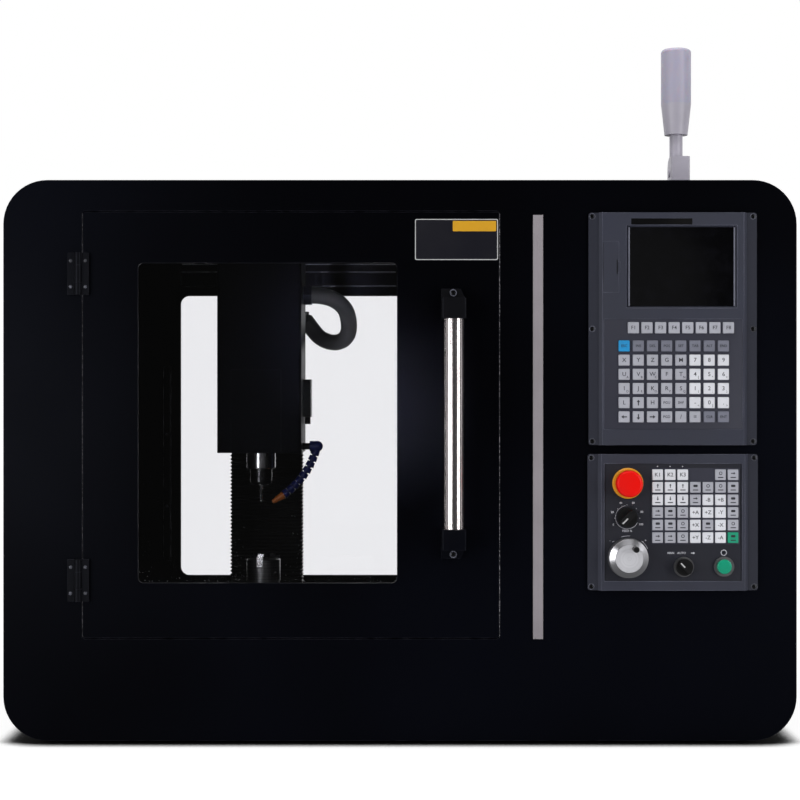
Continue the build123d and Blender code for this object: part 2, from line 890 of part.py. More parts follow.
# Saddle: plate with carriages below and above and a nut for each screw
y_carriage = saddle_length / 2 - carriage_length / 2
x_carriage = saddle_width / 2 - carriage_length / 2
with BuildPart() as saddle:
    block((spindle_x - saddle_width / 2, spindle_x + saddle_width / 2),
          (spindle_depth - saddle_length / 2, spindle_depth + saddle_length / 2),
          (saddle_bottom, saddle_top))
    for side in (-1, 1):
        for end in (-1, 1):
            middle = spindle_depth + end * y_carriage + carriage_length / 2
            with BuildSketch(guide_plane((spindle_x + side * y_rail_offset, y_at(middle), bed_top),
                                         (1, 0, 0), (0, 0, 1))):
                carriage_section()
            extrude(amount=carriage_length)
            start = spindle_x + end * x_carriage - carriage_length / 2
            with BuildSketch(guide_plane((start, y_at(spindle_depth + side * x_rail_offset),
                                          table_bottom), (0, -1, 0), (0, 0, -1))):
                carriage_section()
            extrude(amount=carriage_length)
    block((spindle_x - nut_width / 2, spindle_x + nut_width / 2),
          (spindle_depth - nut_length / 2, spindle_depth + nut_length / 2),
          (bed_top - land_height + nut_face_gap, saddle_bottom))
    block((spindle_x - nut_length / 2, spindle_x + nut_length / 2),
          (spindle_depth - nut_width / 2, spindle_depth + nut_width / 2),
          (saddle_top, table_bottom - nut_face_gap))
    post(spindle_x, y_screw_z, screw_radius + nut_clearance,
         (spindle_depth - nut_length, spindle_depth + nut_length), Mode.SUBTRACT)
    bar(spindle_depth, x_screw_z, screw_radius + nut_clearance,
        (spindle_x - nut_length, spindle_x + nut_length), Mode.SUBTRACT)

# Table with T-slots and two screw lugs
table_left = spindle_x - table_length / 2
table_right = spindle_x + table_length / 2
table_depths = (spindle_depth - table_width / 2, spindle_depth + table_width / 2)
with BuildPart() as table:
    block((table_left, table_right), table_depths, (table_bottom, table_top))
    for row in (-1, 0, 1):
        middle = spindle_depth + row * slot_pitch
        block((table_left, table_right), (middle - slot_width / 2, middle + slot_width / 2),
              (table_top - slot_neck, table_top), Mode.SUBTRACT)
        block((table_left, table_right),
              (middle - slot_head_width / 2, middle + slot_head_width / 2),
              (table_top - slot_neck - slot_head_height, table_top - slot_neck), Mode.SUBTRACT)
    for low, high in ((table_left, table_left + lug_thickness),
                      (table_right - lug_thickness, table_right)):
        block((low, high), (spindle_depth - lug_width / 2, spindle_depth + lug_width / 2),
              (x_screw_z - motor_side / 2, table_bottom))
    bar(spindle_depth, x_screw_z, journal_radius + running_clearance,
        (table_left - cut_overrun, table_right + cut_overrun), Mode.SUBTRACT)

with BuildPart() as x_rails:
    rail_start = table_left + lug_thickness
    for side in (-1, 1):
        with BuildSketch(guide_plane((rail_start, y_at(spindle_depth + side * x_rail_offset),
                                      table_bottom), (0, -1, 0), (0, 0, -1))):
            rail_section()
        extrude(amount=table_length - 2 * lug_thickness)


def add_screw(plane, length):
    """Ball screw along the normal of a plane, with a journal at each end."""
    with BuildSketch(plane) as journal:
        Circle(journal_radius)
    extrude(journal.sketch, amount=length)
    with BuildSketch(plane.offset(journal_length)) as thread:
        Circle(screw_radius)
    extrude(thread.sketch, amount=length - 2 * journal_length)


# Ball screws, each from the middle of one bearing to the middle of the other
with BuildPart() as x_screw:
    add_screw(Plane(origin=(table_left + screw_end_gap, y_at(spindle_depth), x_screw_z),
                    x_dir=(0, 1, 0), z_dir=(1, 0, 0)), table_length - 2 * screw_end_gap)

with BuildPart() as y_screw:
    y_screw_start = bed_front + screw_end_gap
    y_screw_end = rear_lug_front + lug_thickness - screw_end_gap
    add_screw(Plane(origin=(spindle_x, y_at(y_screw_start), y_screw_z),
                    x_dir=(1, 0, 0), z_dir=(0, 1, 0)), y_screw_end - y_screw_start)

with BuildPart() as z_screw:
    z_screw_start = screw_foot_bottom + screw_foot_height - journal_length
    add_screw(Plane(origin=(spindle_x, y_at(z_screw_depth), z_screw_start),
                    x_dir=(1, 0, 0), z_dir=(0, 0, 1)), shelf_top - screw_end_gap - z_screw_start)


def add_motor(plane):
    """Servo motor whose flange sits on a plane and whose body leaves along its normal."""
    with BuildSketch(plane) as flange:
        RectangleRounded(motor_side, motor_side, motor_corner)
    extrude(flange.sketch, amount=motor_flange)
    with BuildSketch(plane.offset(motor_flange)) as body:
        RectangleRounded(motor_body_side, motor_body_side, motor_corner * 2)
    extrude(body.sketch, amount=motor_body_length)
    with BuildSketch(plane.offset(motor_flange + motor_body_length)) as cap:
        RectangleRounded(motor_cap_side, motor_cap_side, motor_corner)
    extrude(cap.sketch, amount=motor_cap_length)
    with BuildSketch(plane.offset(motor_flange + motor_body_length)) as plug:
        with Locations((0, motor_cap_side / 2)):
            Rectangle(motor_plug_side, motor_plug_height / 2)
    extrude(plug.sketch, amount=motor_plug_side)


with BuildPart() as x_motor:
    add_motor(Plane(origin=(table_right, y_at(spindle_depth), x_screw_z),
                    x_dir=(0, 0, 1), z_dir=(1, 0, 0)))

with BuildPart() as axis_motors:
    add_motor(Plane(origin=(spindle_x, y_at(bed_front), y_screw_z),
                    x_dir=(1, 0, 0), z_dir=(0, -1, 0)))
    add_motor(Plane(origin=(spindle_x, y_at(z_screw_depth), shelf_top),
                    x_dir=(1, 0, 0), z_dir=(0, 0, 1)))

# Three-jaw chuck standing on the table
with BuildPart() as chuck_body:
    stand(chuck_x, spindle_depth, chuck_radius, (table_top, chuck_top))
    chamfer(chuck_body.edges().filter_by(GeomType.CIRCLE).sort_by(Axis.Z)[-1], chuck_groove)
    groove = table_top + chuck_height * chuck_groove_share
    with BuildSketch(level(groove)):
        with Locations((chuck_x, y_at(spindle_depth))):
            Circle(chuck_radius + cut_overrun)
            Circle(chuck_radius - chuck_groove, mode=Mode.SUBTRACT)
    extrude(amount=chuck_groove_height, mode=Mode.SUBTRACT)
    stand(chuck_x, spindle_depth, chuck_bore_radius, (table_top, chuck_top), Mode.SUBTRACT)
    for angle in jaw_angles:
        seat = Plane(origin=(chuck_x, y_at(spindle_depth), chuck_top),
                     x_dir=(cos(radians(angle)), sin(radians(angle)), 0), z_dir=(0, 0, 1))
        with BuildSketch(seat):
            with Locations((chuck_radius / 2 + cut_overrun, 0)):
                Rectangle(chuck_radius + 2 * cut_overrun, jaw_width + 2 * jaw_clearance)
        extrude(amount=-jaw_seat, mode=Mode.SUBTRACT)
        turn = radians(angle + 180)
        socket_z = table_top + chuck_height / 2 + key_square / 2
        side = Plane(origin=(chuck_x + chuck_radius * cos(turn),
                             y_at(spindle_depth) + chuck_radius * sin(turn), socket_z),
                     x_dir=(-sin(turn), cos(turn), 0), z_dir=(cos(turn), sin(turn), 0))
        with BuildSketch(side):
            Rectangle(key_square, key_square)
        extrude(amount=-key_depth, mode=Mode.SUBTRACT)


def add_jaw(angle):
    """Stepped jaw in its radial seat."""
    side = Plane(origin=(chuck_x, y_at(spindle_depth), chuck_top),
                 x_dir=(cos(radians(angle)), sin(radians(angle)), 0),
                 z_dir=(sin(radians(angle)), -cos(radians(angle)), 0))
    step = jaw_inner + jaw_length * jaw_step_share
    foot = jaw_clearance - jaw_seat
    with BuildSketch(side) as profile:
        with BuildLine():
            Polyline((jaw_inner, foot), (jaw_inner + jaw_length, foot),
                     (jaw_inner + jaw_length, jaw_rise - jaw_step), (step, jaw_rise - jaw_step),
                     (step, jaw_rise), (jaw_inner, jaw_rise), close=True)
        make_face()
    extrude(profile.sketch, amount=jaw_width / 2, both=True)


with BuildPart() as chuck_jaw_1:
    add_jaw(jaw_angles[0])

with BuildPart() as chuck_jaw_2:
    add_jaw(jaw_angles[1])

with BuildPart() as chuck_jaw_3:
    add_jaw(jaw_angles[2])

# Bellows over the column guides: pleats outside, straight inside, open to the column
bellows_back = column_front - screw_end_gap
bellows_front = bellows_back - bellows_depth
pleat = (head_bottom - ledge_top) / bellows_count
with BuildPart() as z_bellows:
    for step in range(2 * bellows_count + 1):
        fold = bellows_fold * ((step + 1) % 2)
        with BuildSketch(level(ledge_top + step * pleat / 2)):
            with Locations((spindle_x, y_at((bellows_front + fold / 2 + bellows_back) / 2
                                            + fold / 4))):
                Rectangle(bellows_width - 2 * fold, bellows_depth - fold)
    loft(ruled=True)
    reach = bellows_fold + bellows_wall
    block((spindle_x - bellows_width / 2 + reach, spindle_x + bellows_width / 2 - reach),
          (bellows_front + reach, bellows_back + cut_overrun),
          (ledge_top - cut_overrun, head_bottom + cut_overrun), Mode.SUBTRACT)

# Head casting: spindle block, slide plate, ribs, carriages and the screw nut
block_top = head_bottom + head_block_height
head_left = spindle_x - head_block_width / 2
head_right = spindle_x + head_block_width / 2
head_front = spindle_depth - head_nose
plate_front = head_back - head_back_depth
with BuildPart() as head_casting:
    block((head_left, head_right), (head_front, head_back), (head_bottom, block_top))
    block((head_left, head_right), (plate_front, head_back),
          (block_top, head_bottom + head_back_height))
    for side in (-1, 1):
        rib = spindle_x + side * (head_block_width / 2 - rib_thickness / 2)
        with BuildSketch(across(rib)):
            with BuildLine():
                Polyline((y_at(plate_front), block_top),
                         (y_at(spindle_depth + spindle_motor_side / 2 + rib_thickness), block_top),
                         (y_at(plate_front), block_top + head_block_height / 2), close=True)
            make_face()
        extrude(amount=rib_thickness / 2, both=True)
    for height in (z_carriage_low, z_carriage_high):
        for side in (-1, 1):
            with BuildSketch(guide_plane((spindle_x + side * z_rail_offset, y_at(column_front),
                                          height - carriage_length / 2),
                                         (-1, 0, 0), (0, -1, 0))):
                carriage_section()
            extrude(amount=carriage_length)
    block((spindle_x - nut_width / 2, spindle_x + nut_width / 2),
          (head_back, column_front - nut_face_gap),
          (z_nut_height - nut_length / 2, z_nut_height + nut_length / 2))
    stand(spindle_x, z_screw_depth, screw_radius + nut_clearance,
          (z_nut_height - nut_length, z_nut_height + nut_length), Mode.SUBTRACT)
    stand(spindle_x, spindle_depth, spindle_radius + running_clearance,
          (head_bottom - cut_overrun, block_top + cut_overrun), Mode.SUBTRACT)
    bar(spindle_depth, hose_height, stub_radius, (head_right, hose_x - elbow_radius / 2))

with BuildPart() as spindle_motor:
    with BuildSketch(level(block_top)):
        with Locations((spindle_x, y_at(spindle_depth))):
            RectangleRounded(spindle_motor_side, spindle_motor_side, motor_corner * 2)
    extrude(amount=spindle_motor_length)

# Sheet cover: front, sides and top, open below and behind
cover_back = cover_front + cover_depth
with BuildPart() as head_cover:
    block((spindle_x - cover_width / 2, cover_right), (cover_front, cover_back),
          (head_bottom, cover_top))
    fillet(head_cover.edges().filter_by(Axis.Z).group_by(Axis.Y)[0], cover_corner)
    block((spindle_x - cover_width / 2 + sheet, cover_right - sheet),
          (cover_front + sheet, cover_back + cut_overrun),
          (head_bottom - cut_overrun, cover_top - sheet), Mode.SUBTRACT)
    plate_x = spindle_x + plate_offset
    block((plate_x - plate_width / 2, plate_x + plate_width / 2),
          (cover_front - plate_rise, cover_front), (head_bottom, head_bottom + plate_height))
    bar(spindle_depth, hose_height, stub_radius + running_clearance,
        (cover_right - sheet - cut_overrun, cover_right + cut_overrun), Mode.SUBTRACT)
    with BuildSketch(across(cover_right)):
        with Locations((y_at(conduit_start_depth), conduit_start_height)):
            RegularPolygon(gland_radius, gland_sides)
    extrude(amount=gland_length)

with BuildPart() as head_terminal_box:
    with BuildSketch(across(cover_right)):
        with Locations((y_at(terminal_depth), terminal_bottom + terminal_height / 2)):
            RectangleRounded(terminal_length, terminal_height, terminal_nub_radius)
    extrude(amount=terminal_reach)
    stand(cover_right + terminal_reach / 2, terminal_depth, terminal_nub_radius,
          (terminal_bottom - terminal_nub_length, terminal_bottom + terminal_nub_length))

# Spindle, collet nut and cutter turn together
with BuildPart() as spindle:
    stand(spindle_x, spindle_depth, spindle_radius,
          (nose_bottom + nose_height, block_top - nose_gap))
    stand(spindle_x, spindle_depth, nose_radius, (nose_bottom, nose_bottom + nose_height))
    chamfer(spindle.edges().filter_by(GeomType.CIRCLE).sort_by(Axis.Z)[0], nut_chamfer / 2)

with BuildPart() as collet_nut:
    stand(spindle_x, spindle_depth, nut_radius, (nut_bottom, nose_bottom))
    chamfer(collet_nut.edges().filter_by(GeomType.CIRCLE).sort_by(Axis.Z)[0], nut_chamfer)
    stand(spindle_x, spindle_depth, collet_radius,
          (nut_bottom - nut_chamfer / 2, nut_bottom))
    with BuildSketch(level(nut_bottom)):
        with Locations((spindle_x, y_at(spindle_depth))):
            with PolarLocations(nut_radius, nut_slot_count):
                Rectangle(2 * nut_slot_depth, nut_slot_width)
    extrude(amount=nut_height / 2, mode=Mode.SUBTRACT)
    stand(spindle_x, spindle_depth, cutter_radius,
          (nut_bottom - nut_chamfer, nose_bottom), Mode.SUBTRACT)

with BuildPart() as end_mill:
    tip = nut_bottom - cutter_length
    stand(spindle_x, spindle_depth, cutter_radius, (tip, nose_bottom))
    with BuildSketch(level(tip)):
        with Locations((spindle_x, y_at(spindle_depth))):
            with PolarLocations(flute_offset, 2):
                Circle(flute_radius)
    extrude(amount=flute_length, mode=Mode.SUBTRACT)

# Coolant hose: an elbow on the head's stub, then ball and socket links
step_angle = (hose_end_angle - hose_start_angle) / link_count
hose_angles = [hose_start_angle + step_angle * number for number in range(link_count + 1)]
socket_radius = ball_radius + socket_play


def hose_plane(x, z, angle):
    """Plane across the hose; its normal points down the hose."""
    return Plane(origin=(x, y_at(spindle_depth), z), x_dir=(0, 1, 0),
                 z_dir=(cos(radians(angle)), 0, sin(radians(angle))))


def add_cup(plane, length):
    """Cup that ends past the middle of the ball it holds."""
    with BuildSketch(plane) as back:
        Circle(cup_back_radius)
    with BuildSketch(plane.offset(length)) as mouth:
        Circle(cup_radius)
    loft([back.sketch, mouth.sketch])
    extrude(mouth.sketch, amount=cup_rim)


def add_ball(plane, radius, mode=Mode.ADD):
    """Ball about the origin of a plane."""
    with Locations(plane):
        Sphere(radius, mode=mode)


joint_x = hose_x + elbow_throw * cos(radians(hose_start_angle))
joint_z = hose_height + elbow_throw * sin(radians(hose_start_angle))
with BuildPart() as hose_elbow:
    elbow_end = hose_x - elbow_sleeve
    bar(spindle_depth, hose_height, elbow_radius, (elbow_end, hose_x))
    add_ball(hose_plane(hose_x, hose_height, hose_start_angle), elbow_radius)
    add_cup(hose_plane(hose_x, hose_height, hose_start_angle), elbow_throw)
    add_ball(hose_plane(joint_x, joint_z, hose_start_angle), socket_radius, Mode.SUBTRACT)
    bar(spindle_depth, hose_height, stub_radius + running_clearance,
        (elbow_end - cut_overrun, hose_x - elbow_radius / 2 + running_clearance), Mode.SUBTRACT)

hose_links = []
for angle in hose_angles[:-1]:
    next_x = joint_x + link_pitch * cos(radians(angle))
    next_z = joint_z + link_pitch * sin(radians(angle))
    with BuildPart() as link:
        add_ball(hose_plane(joint_x, joint_z, angle), ball_radius)
        with BuildSketch(hose_plane(joint_x, joint_z, angle)):
            Circle(link_neck_radius)
        extrude(amount=link_pitch)
        add_cup(hose_plane(joint_x, joint_z, angle).offset(cup_back), link_pitch - cup_back)
        add_ball(hose_plane(next_x, next_z, angle), socket_radius, Mode.SUBTRACT)
    hose_links.append(link.part)
    joint_x, joint_z = next_x, next_z

with BuildPart() as coolant_hose:
    add(hose_elbow.part)
    for piece in hose_links:
        add(piece)

with BuildPart() as coolant_nozzle:
    mouth = hose_plane(joint_x, joint_z, hose_end_angle)
    add_ball(mouth, ball_radius)
    with BuildSketch(mouth):
        Circle(link_neck_radius)
    extrude(amount=cup_back)
    with BuildSketch(mouth.offset(cup_back)):
        Circle(cup_back_radius)
    with BuildSketch(mouth.offset(nozzle_length)):
        Circle(nozzle_tip_radius)
    loft()
    with BuildSketch(mouth.offset(nozzle_length)):
        Circle(link_bore)
    extrude(amount=-nozzle_length / 2, mode=Mode.SUBTRACT)

# Conduit: from the gland on the cover, round a loop, to the gland on the side of the column
conduit_points = [
    (cover_right + gland_length, conduit_start_depth, conduit_start_height),
    (conduit_right, conduit_start_depth, conduit_start_height),
    (conduit_right, conduit_loop_depth, conduit_low),
    (conduit_return_x, conduit_return_depth, conduit_end_height),
    (column_right + gland_length, conduit_return_depth, conduit_end_height),
]
conduit_route = [Vector(x, y_at(depth), z) for x, depth, z in conduit_points]
conduit_radii = []
for before, corner, after in zip(conduit_route, conduit_route[1:], conduit_route[2:]):
    arriving = corner - before
    leaving = after - corner
    shorter = min(arriving.length, leaving.length)
    half_turn = radians(arriving.get_angle(leaving) / 2)
    conduit_radii.append(bend_share * shorter * cos(half_turn) / sin(half_turn))
with BuildPart() as conduit:
    with BuildLine() as conduit_line:
        FilletPolyline(*conduit_route, radius=conduit_radii)
    with BuildSketch(across(cover_right + gland_length)):
        with Locations((y_at(conduit_start_depth), conduit_start_height)):
            Circle(conduit_radius)
    sweep(path=conduit_line.wires()[0])


def add_bezel(width, height, bottom, screw_rows):
    """Panel bezel: low screw flanges at the sides, a raised face and a body behind."""
    half = width / 2
    shoulder = half - bezel_flange_width
    with BuildSketch(level(bottom)) as profile:
        with BuildLine():
            Polyline((panel_x - half, y_at(0)), (panel_x - half, y_at(-bezel_flange)),
                     (panel_x - shoulder, y_at(-bezel_flange)),
                     (panel_x - shoulder + bezel_slope, y_at(face_depth)),
                     (panel_x + shoulder - bezel_slope, y_at(face_depth)),
                     (panel_x + shoulder, y_at(-bezel_flange)),
                     (panel_x + half, y_at(-bezel_flange)), (panel_x + half, y_at(0)), close=True)
        make_face()
    extrude(profile.sketch, amount=height)
    inset = bezel_body_inset + bezel_fit
    block((panel_x - half + inset, panel_x + half - inset), (0, bezel_body_depth),
          (bottom + inset, bottom + height - inset))
    for side in (-1, 1):
        for row in screw_rows:
            spot_z = bottom + height / 2 + row * (height / 2 - bezel_screw_inset)
            post(panel_x + side * (half - bezel_screw_inset), spot_z, bezel_screw_radius,
                 (-bezel_flange, bezel_screw_sink - bezel_flange), Mode.SUBTRACT)


def round_bezel(part):
    """Round the four corners of a bezel seen from the front."""
    along = part.edges().filter_by(Axis.Y)
    fillet(along.sort_by(Axis.X)[:2] + along.sort_by(Axis.X)[-2:], bezel_corner)


# Main panel: screen recess, key field, bare name strip and the socket flap
flap_seat = face_depth + flap_thickness + flap_floor
with BuildPart() as screen_bezel:
    add_bezel(main_width, main_height, main_bottom, main_screw_rows)
    round_bezel(screen_bezel)
    block((panel_x - key_field_width / 2, panel_x + key_field_width / 2),
          (face_depth, face_depth + key_recess),
          (key_field_bottom, key_field_bottom + key_field_height), Mode.SUBTRACT)
    with BuildSketch(at_depth(face_depth)):
        with Locations((screen_x, screen_z)):
            Rectangle(screen_width + 2 * screen_bevel, screen_height + 2 * screen_bevel)
    with BuildSketch(at_depth(face_depth + screen_recess)):
        with Locations((screen_x, screen_z)):
            Rectangle(screen_width, screen_height)
    loft(mode=Mode.SUBTRACT)
    block((name_strip_x - name_strip_width / 2, name_strip_x + name_strip_width / 2),
          (face_depth, face_depth + name_strip_sink),
          (name_strip_z - name_strip_height / 2, name_strip_z + name_strip_height / 2),
          Mode.SUBTRACT)
    flap_right = flap_left + flap_width
    block((flap_left - flap_gap, flap_right + flap_gap), (face_depth, flap_seat),
          (flap_bottom - flap_gap, flap_bottom + flap_height + flap_gap), Mode.SUBTRACT)
    lip_middle = flap_bottom + flap_height / 2
    block((flap_right, flap_right + flap_gap + flap_lip_width),
          (face_depth, face_depth + flap_thickness),
          (lip_middle - flap_lip_height / 2 - flap_gap, lip_middle + flap_lip_height / 2 + flap_gap),
          Mode.SUBTRACT)

with BuildPart() as display:
    glass_back = face_depth + screen_recess
    with BuildSketch(at_depth(glass_back)):
        with Locations((screen_x, screen_z)):
            Rectangle(screen_width, screen_height)
    extrude(amount=glass_thickness)

with BuildPart() as usb_flap:
    with BuildSketch(level(flap_bottom)):
        with Locations((flap_axis_x, y_at(flap_axis_depth))):
            Circle(flap_thickness / 2)
        with Locations(((flap_axis_x + flap_right) / 2, y_at(flap_axis_depth))):
            Rectangle(flap_right - flap_axis_x, flap_thickness)
    extrude(amount=flap_height)
    block((flap_right, flap_right + flap_lip_width), (face_depth, flap_axis_depth),
          (lip_middle - flap_lip_height / 2, lip_middle + flap_lip_height / 2))

# Key mats: a thin sheet in the recess with every key moulded on it
key_floor = face_depth + key_recess
with BuildPart() as main_keys:
    with BuildSketch(at_depth(key_floor)):
        with Locations((panel_x, key_field_bottom + key_field_height / 2)):
            Rectangle(key_field_width - 2 * key_fit, key_field_height - 2 * key_fit)
    extrude(amount=key_sheet)
    with BuildSketch(at_depth(key_floor - key_sheet)):
        with Locations((main_key_x, main_key_z)):
            with GridLocations(main_key_pitch, main_key_pitch, main_key_columns, main_key_rows):
                Rectangle(main_key, main_key)
        with Locations((function_key_x, function_key_z)):
            with GridLocations(function_key_pitch, function_key_pitch, main_key_columns, 1):
                Rectangle(function_key, function_key)
    extrude(amount=key_rise, taper=key_taper)

# Operator panel
field_x = panel_x
with BuildPart() as operator_bezel:
    add_bezel(operator_width, operator_height, operator_bottom, operator_screw_rows)
    round_bezel(operator_bezel)
    block((field_x - operator_field_width / 2, field_x + operator_field_width / 2),
          (face_depth, operator_floor),
          (operator_z - operator_field_height / 2, operator_z + operator_field_height / 2),
          Mode.SUBTRACT)
    post(estop_x, estop_z, estop_stem_radius + running_clearance,
         (operator_floor, operator_floor + estop_stem_depth + estop_gap), Mode.SUBTRACT)
    post(start_x, start_z, start_cap_radius + running_clearance,
         (operator_floor, operator_floor + start_cap_height), Mode.SUBTRACT)
    for spot_x, spot_z in ((mode_x, mode_z), (feed_x, feed_z), (wheel_x, wheel_z)):
        post(spot_x, spot_z, wheel_hub_radius + running_clearance,
             (operator_floor, operator_floor + switch_ring_height), Mode.SUBTRACT)

key_spots = []
for row in range(operator_key_rows):
    for column_number in range(operator_key_columns):
        if row or column_number not in operator_missing_columns:
            key_spots.append((operator_key_x + column_number * operator_key_pitch,
                              operator_key_z - row * operator_key_pitch))
mat_width = operator_key_pitch * (operator_key_columns - 1) + operator_key + 2 * key_mat_margin
mat_height = operator_key_pitch * (operator_key_rows - 1) + operator_key + 2 * key_mat_margin
with BuildPart() as operator_keys:
    with BuildSketch(at_depth(operator_floor)):
        with Locations((operator_key_x + operator_key_pitch * (operator_key_columns - 1) / 2,
                        operator_key_z - operator_key_pitch * (operator_key_rows - 1) / 2)):
            Rectangle(mat_width, mat_height)
    extrude(amount=key_sheet)
    with BuildSketch(at_depth(operator_floor - key_sheet)):
        with Locations(*key_spots):
            Rectangle(operator_key, operator_key)
    extrude(amount=key_rise, taper=key_taper)

# Emergency stop
with BuildPart() as estop_collar:
    with BuildSketch(at_depth(operator_floor)):
        with Locations((estop_x, estop_z)):
            Circle(estop_collar_radius)
            Circle(estop_stem_radius + running_clearance, mode=Mode.SUBTRACT)
    extrude(amount=estop_collar_height)
    chamfer(estop_collar.edges().filter_by(GeomType.CIRCLE).group_by(Axis.Y)[0].sort_by(
        SortBy.RADIUS)[-1], estop_collar_height / 4)

estop_under = operator_floor - estop_collar_height - estop_gap
with BuildPart() as estop_head:
    post(estop_x, estop_z, estop_stem_radius, (estop_under, operator_floor + estop_stem_depth))
    post(estop_x, estop_z, estop_head_radius, (estop_under - estop_head_height, estop_under))
    fillet(estop_head.edges().filter_by(GeomType.CIRCLE).group_by(Axis.Y)[0], estop_fillet)

# Fixed rings of the hand wheel, mode switch and start button
with BuildPart() as control_collars:
    with BuildSketch(at_depth(operator_floor)):
        with Locations((wheel_x, wheel_z)):
            Circle(wheel_base_radius)
            Circle(wheel_hub_radius + running_clearance, mode=Mode.SUBTRACT)
    extrude(amount=wheel_base_height)
    with BuildSketch(at_depth(operator_floor)):
        with Locations((mode_x, mode_z), (start_x, start_z)):
            Circle(switch_ring_radius)
        with Locations((mode_x, mode_z)):
            Circle(wheel_hub_radius + running_clearance, mode=Mode.SUBTRACT)
        with Locations((start_x, start_z)):
            Circle(start_cap_radius + running_clearance, mode=Mode.SUBTRACT)
    extrude(amount=switch_ring_height)


def add_grip(x, z, angle, width, length, depth_range):
    """Straight grip bar across a knob, with a pointer groove at one end."""
    turned = Plane(origin=(x, y_at(depth_range[1]), z),
                   x_dir=(cos(radians(angle)), 0, sin(radians(angle))), z_dir=(0, -1, 0))
    with BuildSketch(turned) as grip:
        SlotOverall(length, width)
    extrude(grip.sketch, amount=depth_range[1] - depth_range[0])
    with BuildSketch(turned.offset(depth_range[1] - depth_range[0])) as groove_line:
        with Locations((length / 4, 0)):
            Rectangle(length / 2 - pointer_width, pointer_width)
    extrude(groove_line.sketch, amount=-pointer_depth, mode=Mode.SUBTRACT)


with BuildPart() as feed_knob:
    skirt_front = operator_floor - knob_gap - feed_skirt_height
    post(feed_x, feed_z, wheel_hub_radius, (skirt_front, operator_floor + switch_ring_height / 2))
    post(feed_x, feed_z, feed_skirt_radius, (skirt_front, operator_floor - knob_gap))
    add_grip(feed_x, feed_z, feed_pointer_angle, feed_grip_radius,
             2 * feed_skirt_radius * grip_share,
             (skirt_front - feed_grip_height, skirt_front))

wheel_back = operator_floor - wheel_base_height - wheel_gap
wheel_front = wheel_back - wheel_height
finger_x = wheel_x + finger_offset * cos(radians(finger_angle))
finger_z = wheel_z + finger_offset * sin(radians(finger_angle))
with BuildPart() as handwheel:
    post(wheel_x, wheel_z, wheel_hub_radius, (wheel_back, operator_floor + switch_ring_height / 2))
    post(wheel_x, wheel_z, wheel_radius, (wheel_front + wheel_bevel, wheel_back))
    with BuildSketch(at_depth(wheel_front + wheel_bevel)):
        with Locations((wheel_x, wheel_z)):
            Circle(wheel_radius)
    with BuildSketch(at_depth(wheel_front)):
        with Locations((wheel_x, wheel_z)):
            Circle(wheel_face_radius)
    loft()
    post(finger_x, finger_z, finger_pin_radius,
         (wheel_front - finger_length + finger_radius, wheel_front))

with BuildPart() as finger_knob:
    post(finger_x, finger_z, finger_radius,
         (wheel_front - finger_gap - finger_length, wheel_front - finger_gap))
    fillet(finger_knob.edges().filter_by(GeomType.CIRCLE).group_by(Axis.Y)[0], finger_radius / 3)
    post(finger_x, finger_z, finger_pin_radius + running_clearance,
         (wheel_front - finger_length + finger_radius - running_clearance, wheel_front),
         Mode.SUBTRACT)

with BuildPart() as mode_knob:
    ring_front = operator_floor - switch_ring_height
    knob_front = ring_front - knob_gap - mode_knob_height
    post(mode_x, mode_z, wheel_hub_radius, (knob_front, operator_floor + switch_ring_height / 2))
    post(mode_x, mode_z, mode_knob_radius, (knob_front, ring_front - knob_gap))
    add_grip(mode_x, mode_z, mode_pointer_angle, mode_grip_width,
             2 * mode_knob_radius * grip_share,
             (knob_front - mode_grip_height, knob_front))

with BuildPart() as start_button:
    cap_front = ring_front - start_cap_height / 2
    post(start_x, start_z, start_cap_radius, (cap_front, operator_floor + knob_gap))
    fillet(start_button.edges().filter_by(GeomType.CIRCLE).group_by(Axis.Y)[0], start_dome)

# Signal lamp: slotted foot, folding stem and a frosted lens
lamp_front = lamp_depth - lamp_foot_depth / 2
lamp_back = lamp_depth + lamp_foot_depth / 2
slot_half = lamp_slot_width / 2 + lamp_clearance
slot_floor = lamp_pivot_z - lamp_tang_radius - lamp_clearance
with BuildPart() as lamp_foot:
    stand(lamp_x, lamp_depth, lamp_base_radius,
          (enclosure_height, enclosure_height + lamp_base_height))
    with BuildSketch(across(lamp_x)) as cheek:
        with Locations((y_at(lamp_depth), enclosure_height + lamp_foot_height / 2)):
            Rectangle(lamp_foot_depth, lamp_foot_height)
        fillet(cheek.vertices().group_by(Axis.Y)[-1].sort_by(Axis.X)[-1], lamp_foot_depth / 2)
    extrude(amount=lamp_foot_width / 2, both=True)
    fillet(lamp_foot.edges().filter_by(Axis.Z).group_by(Axis.Y)[0], lamp_edge)
    block((lamp_x - slot_half, lamp_x + slot_half), (lamp_front + lamp_wall, lamp_back + cut_overrun),
          (slot_floor, lamp_pole_bottom + cut_overrun), Mode.SUBTRACT)
    bar(lamp_depth, lamp_pivot_z, lamp_pivot_radius + running_clearance,
        (lamp_x - lamp_foot_width, lamp_x + lamp_foot_width), Mode.SUBTRACT)
    for side in (-1, 1):
        face = lamp_x + side * lamp_foot_width / 2
        low, high = sorted((face, face + side * lamp_screw_height))
        bar(lamp_depth, lamp_pivot_z, lamp_screw_radius, (low, high))

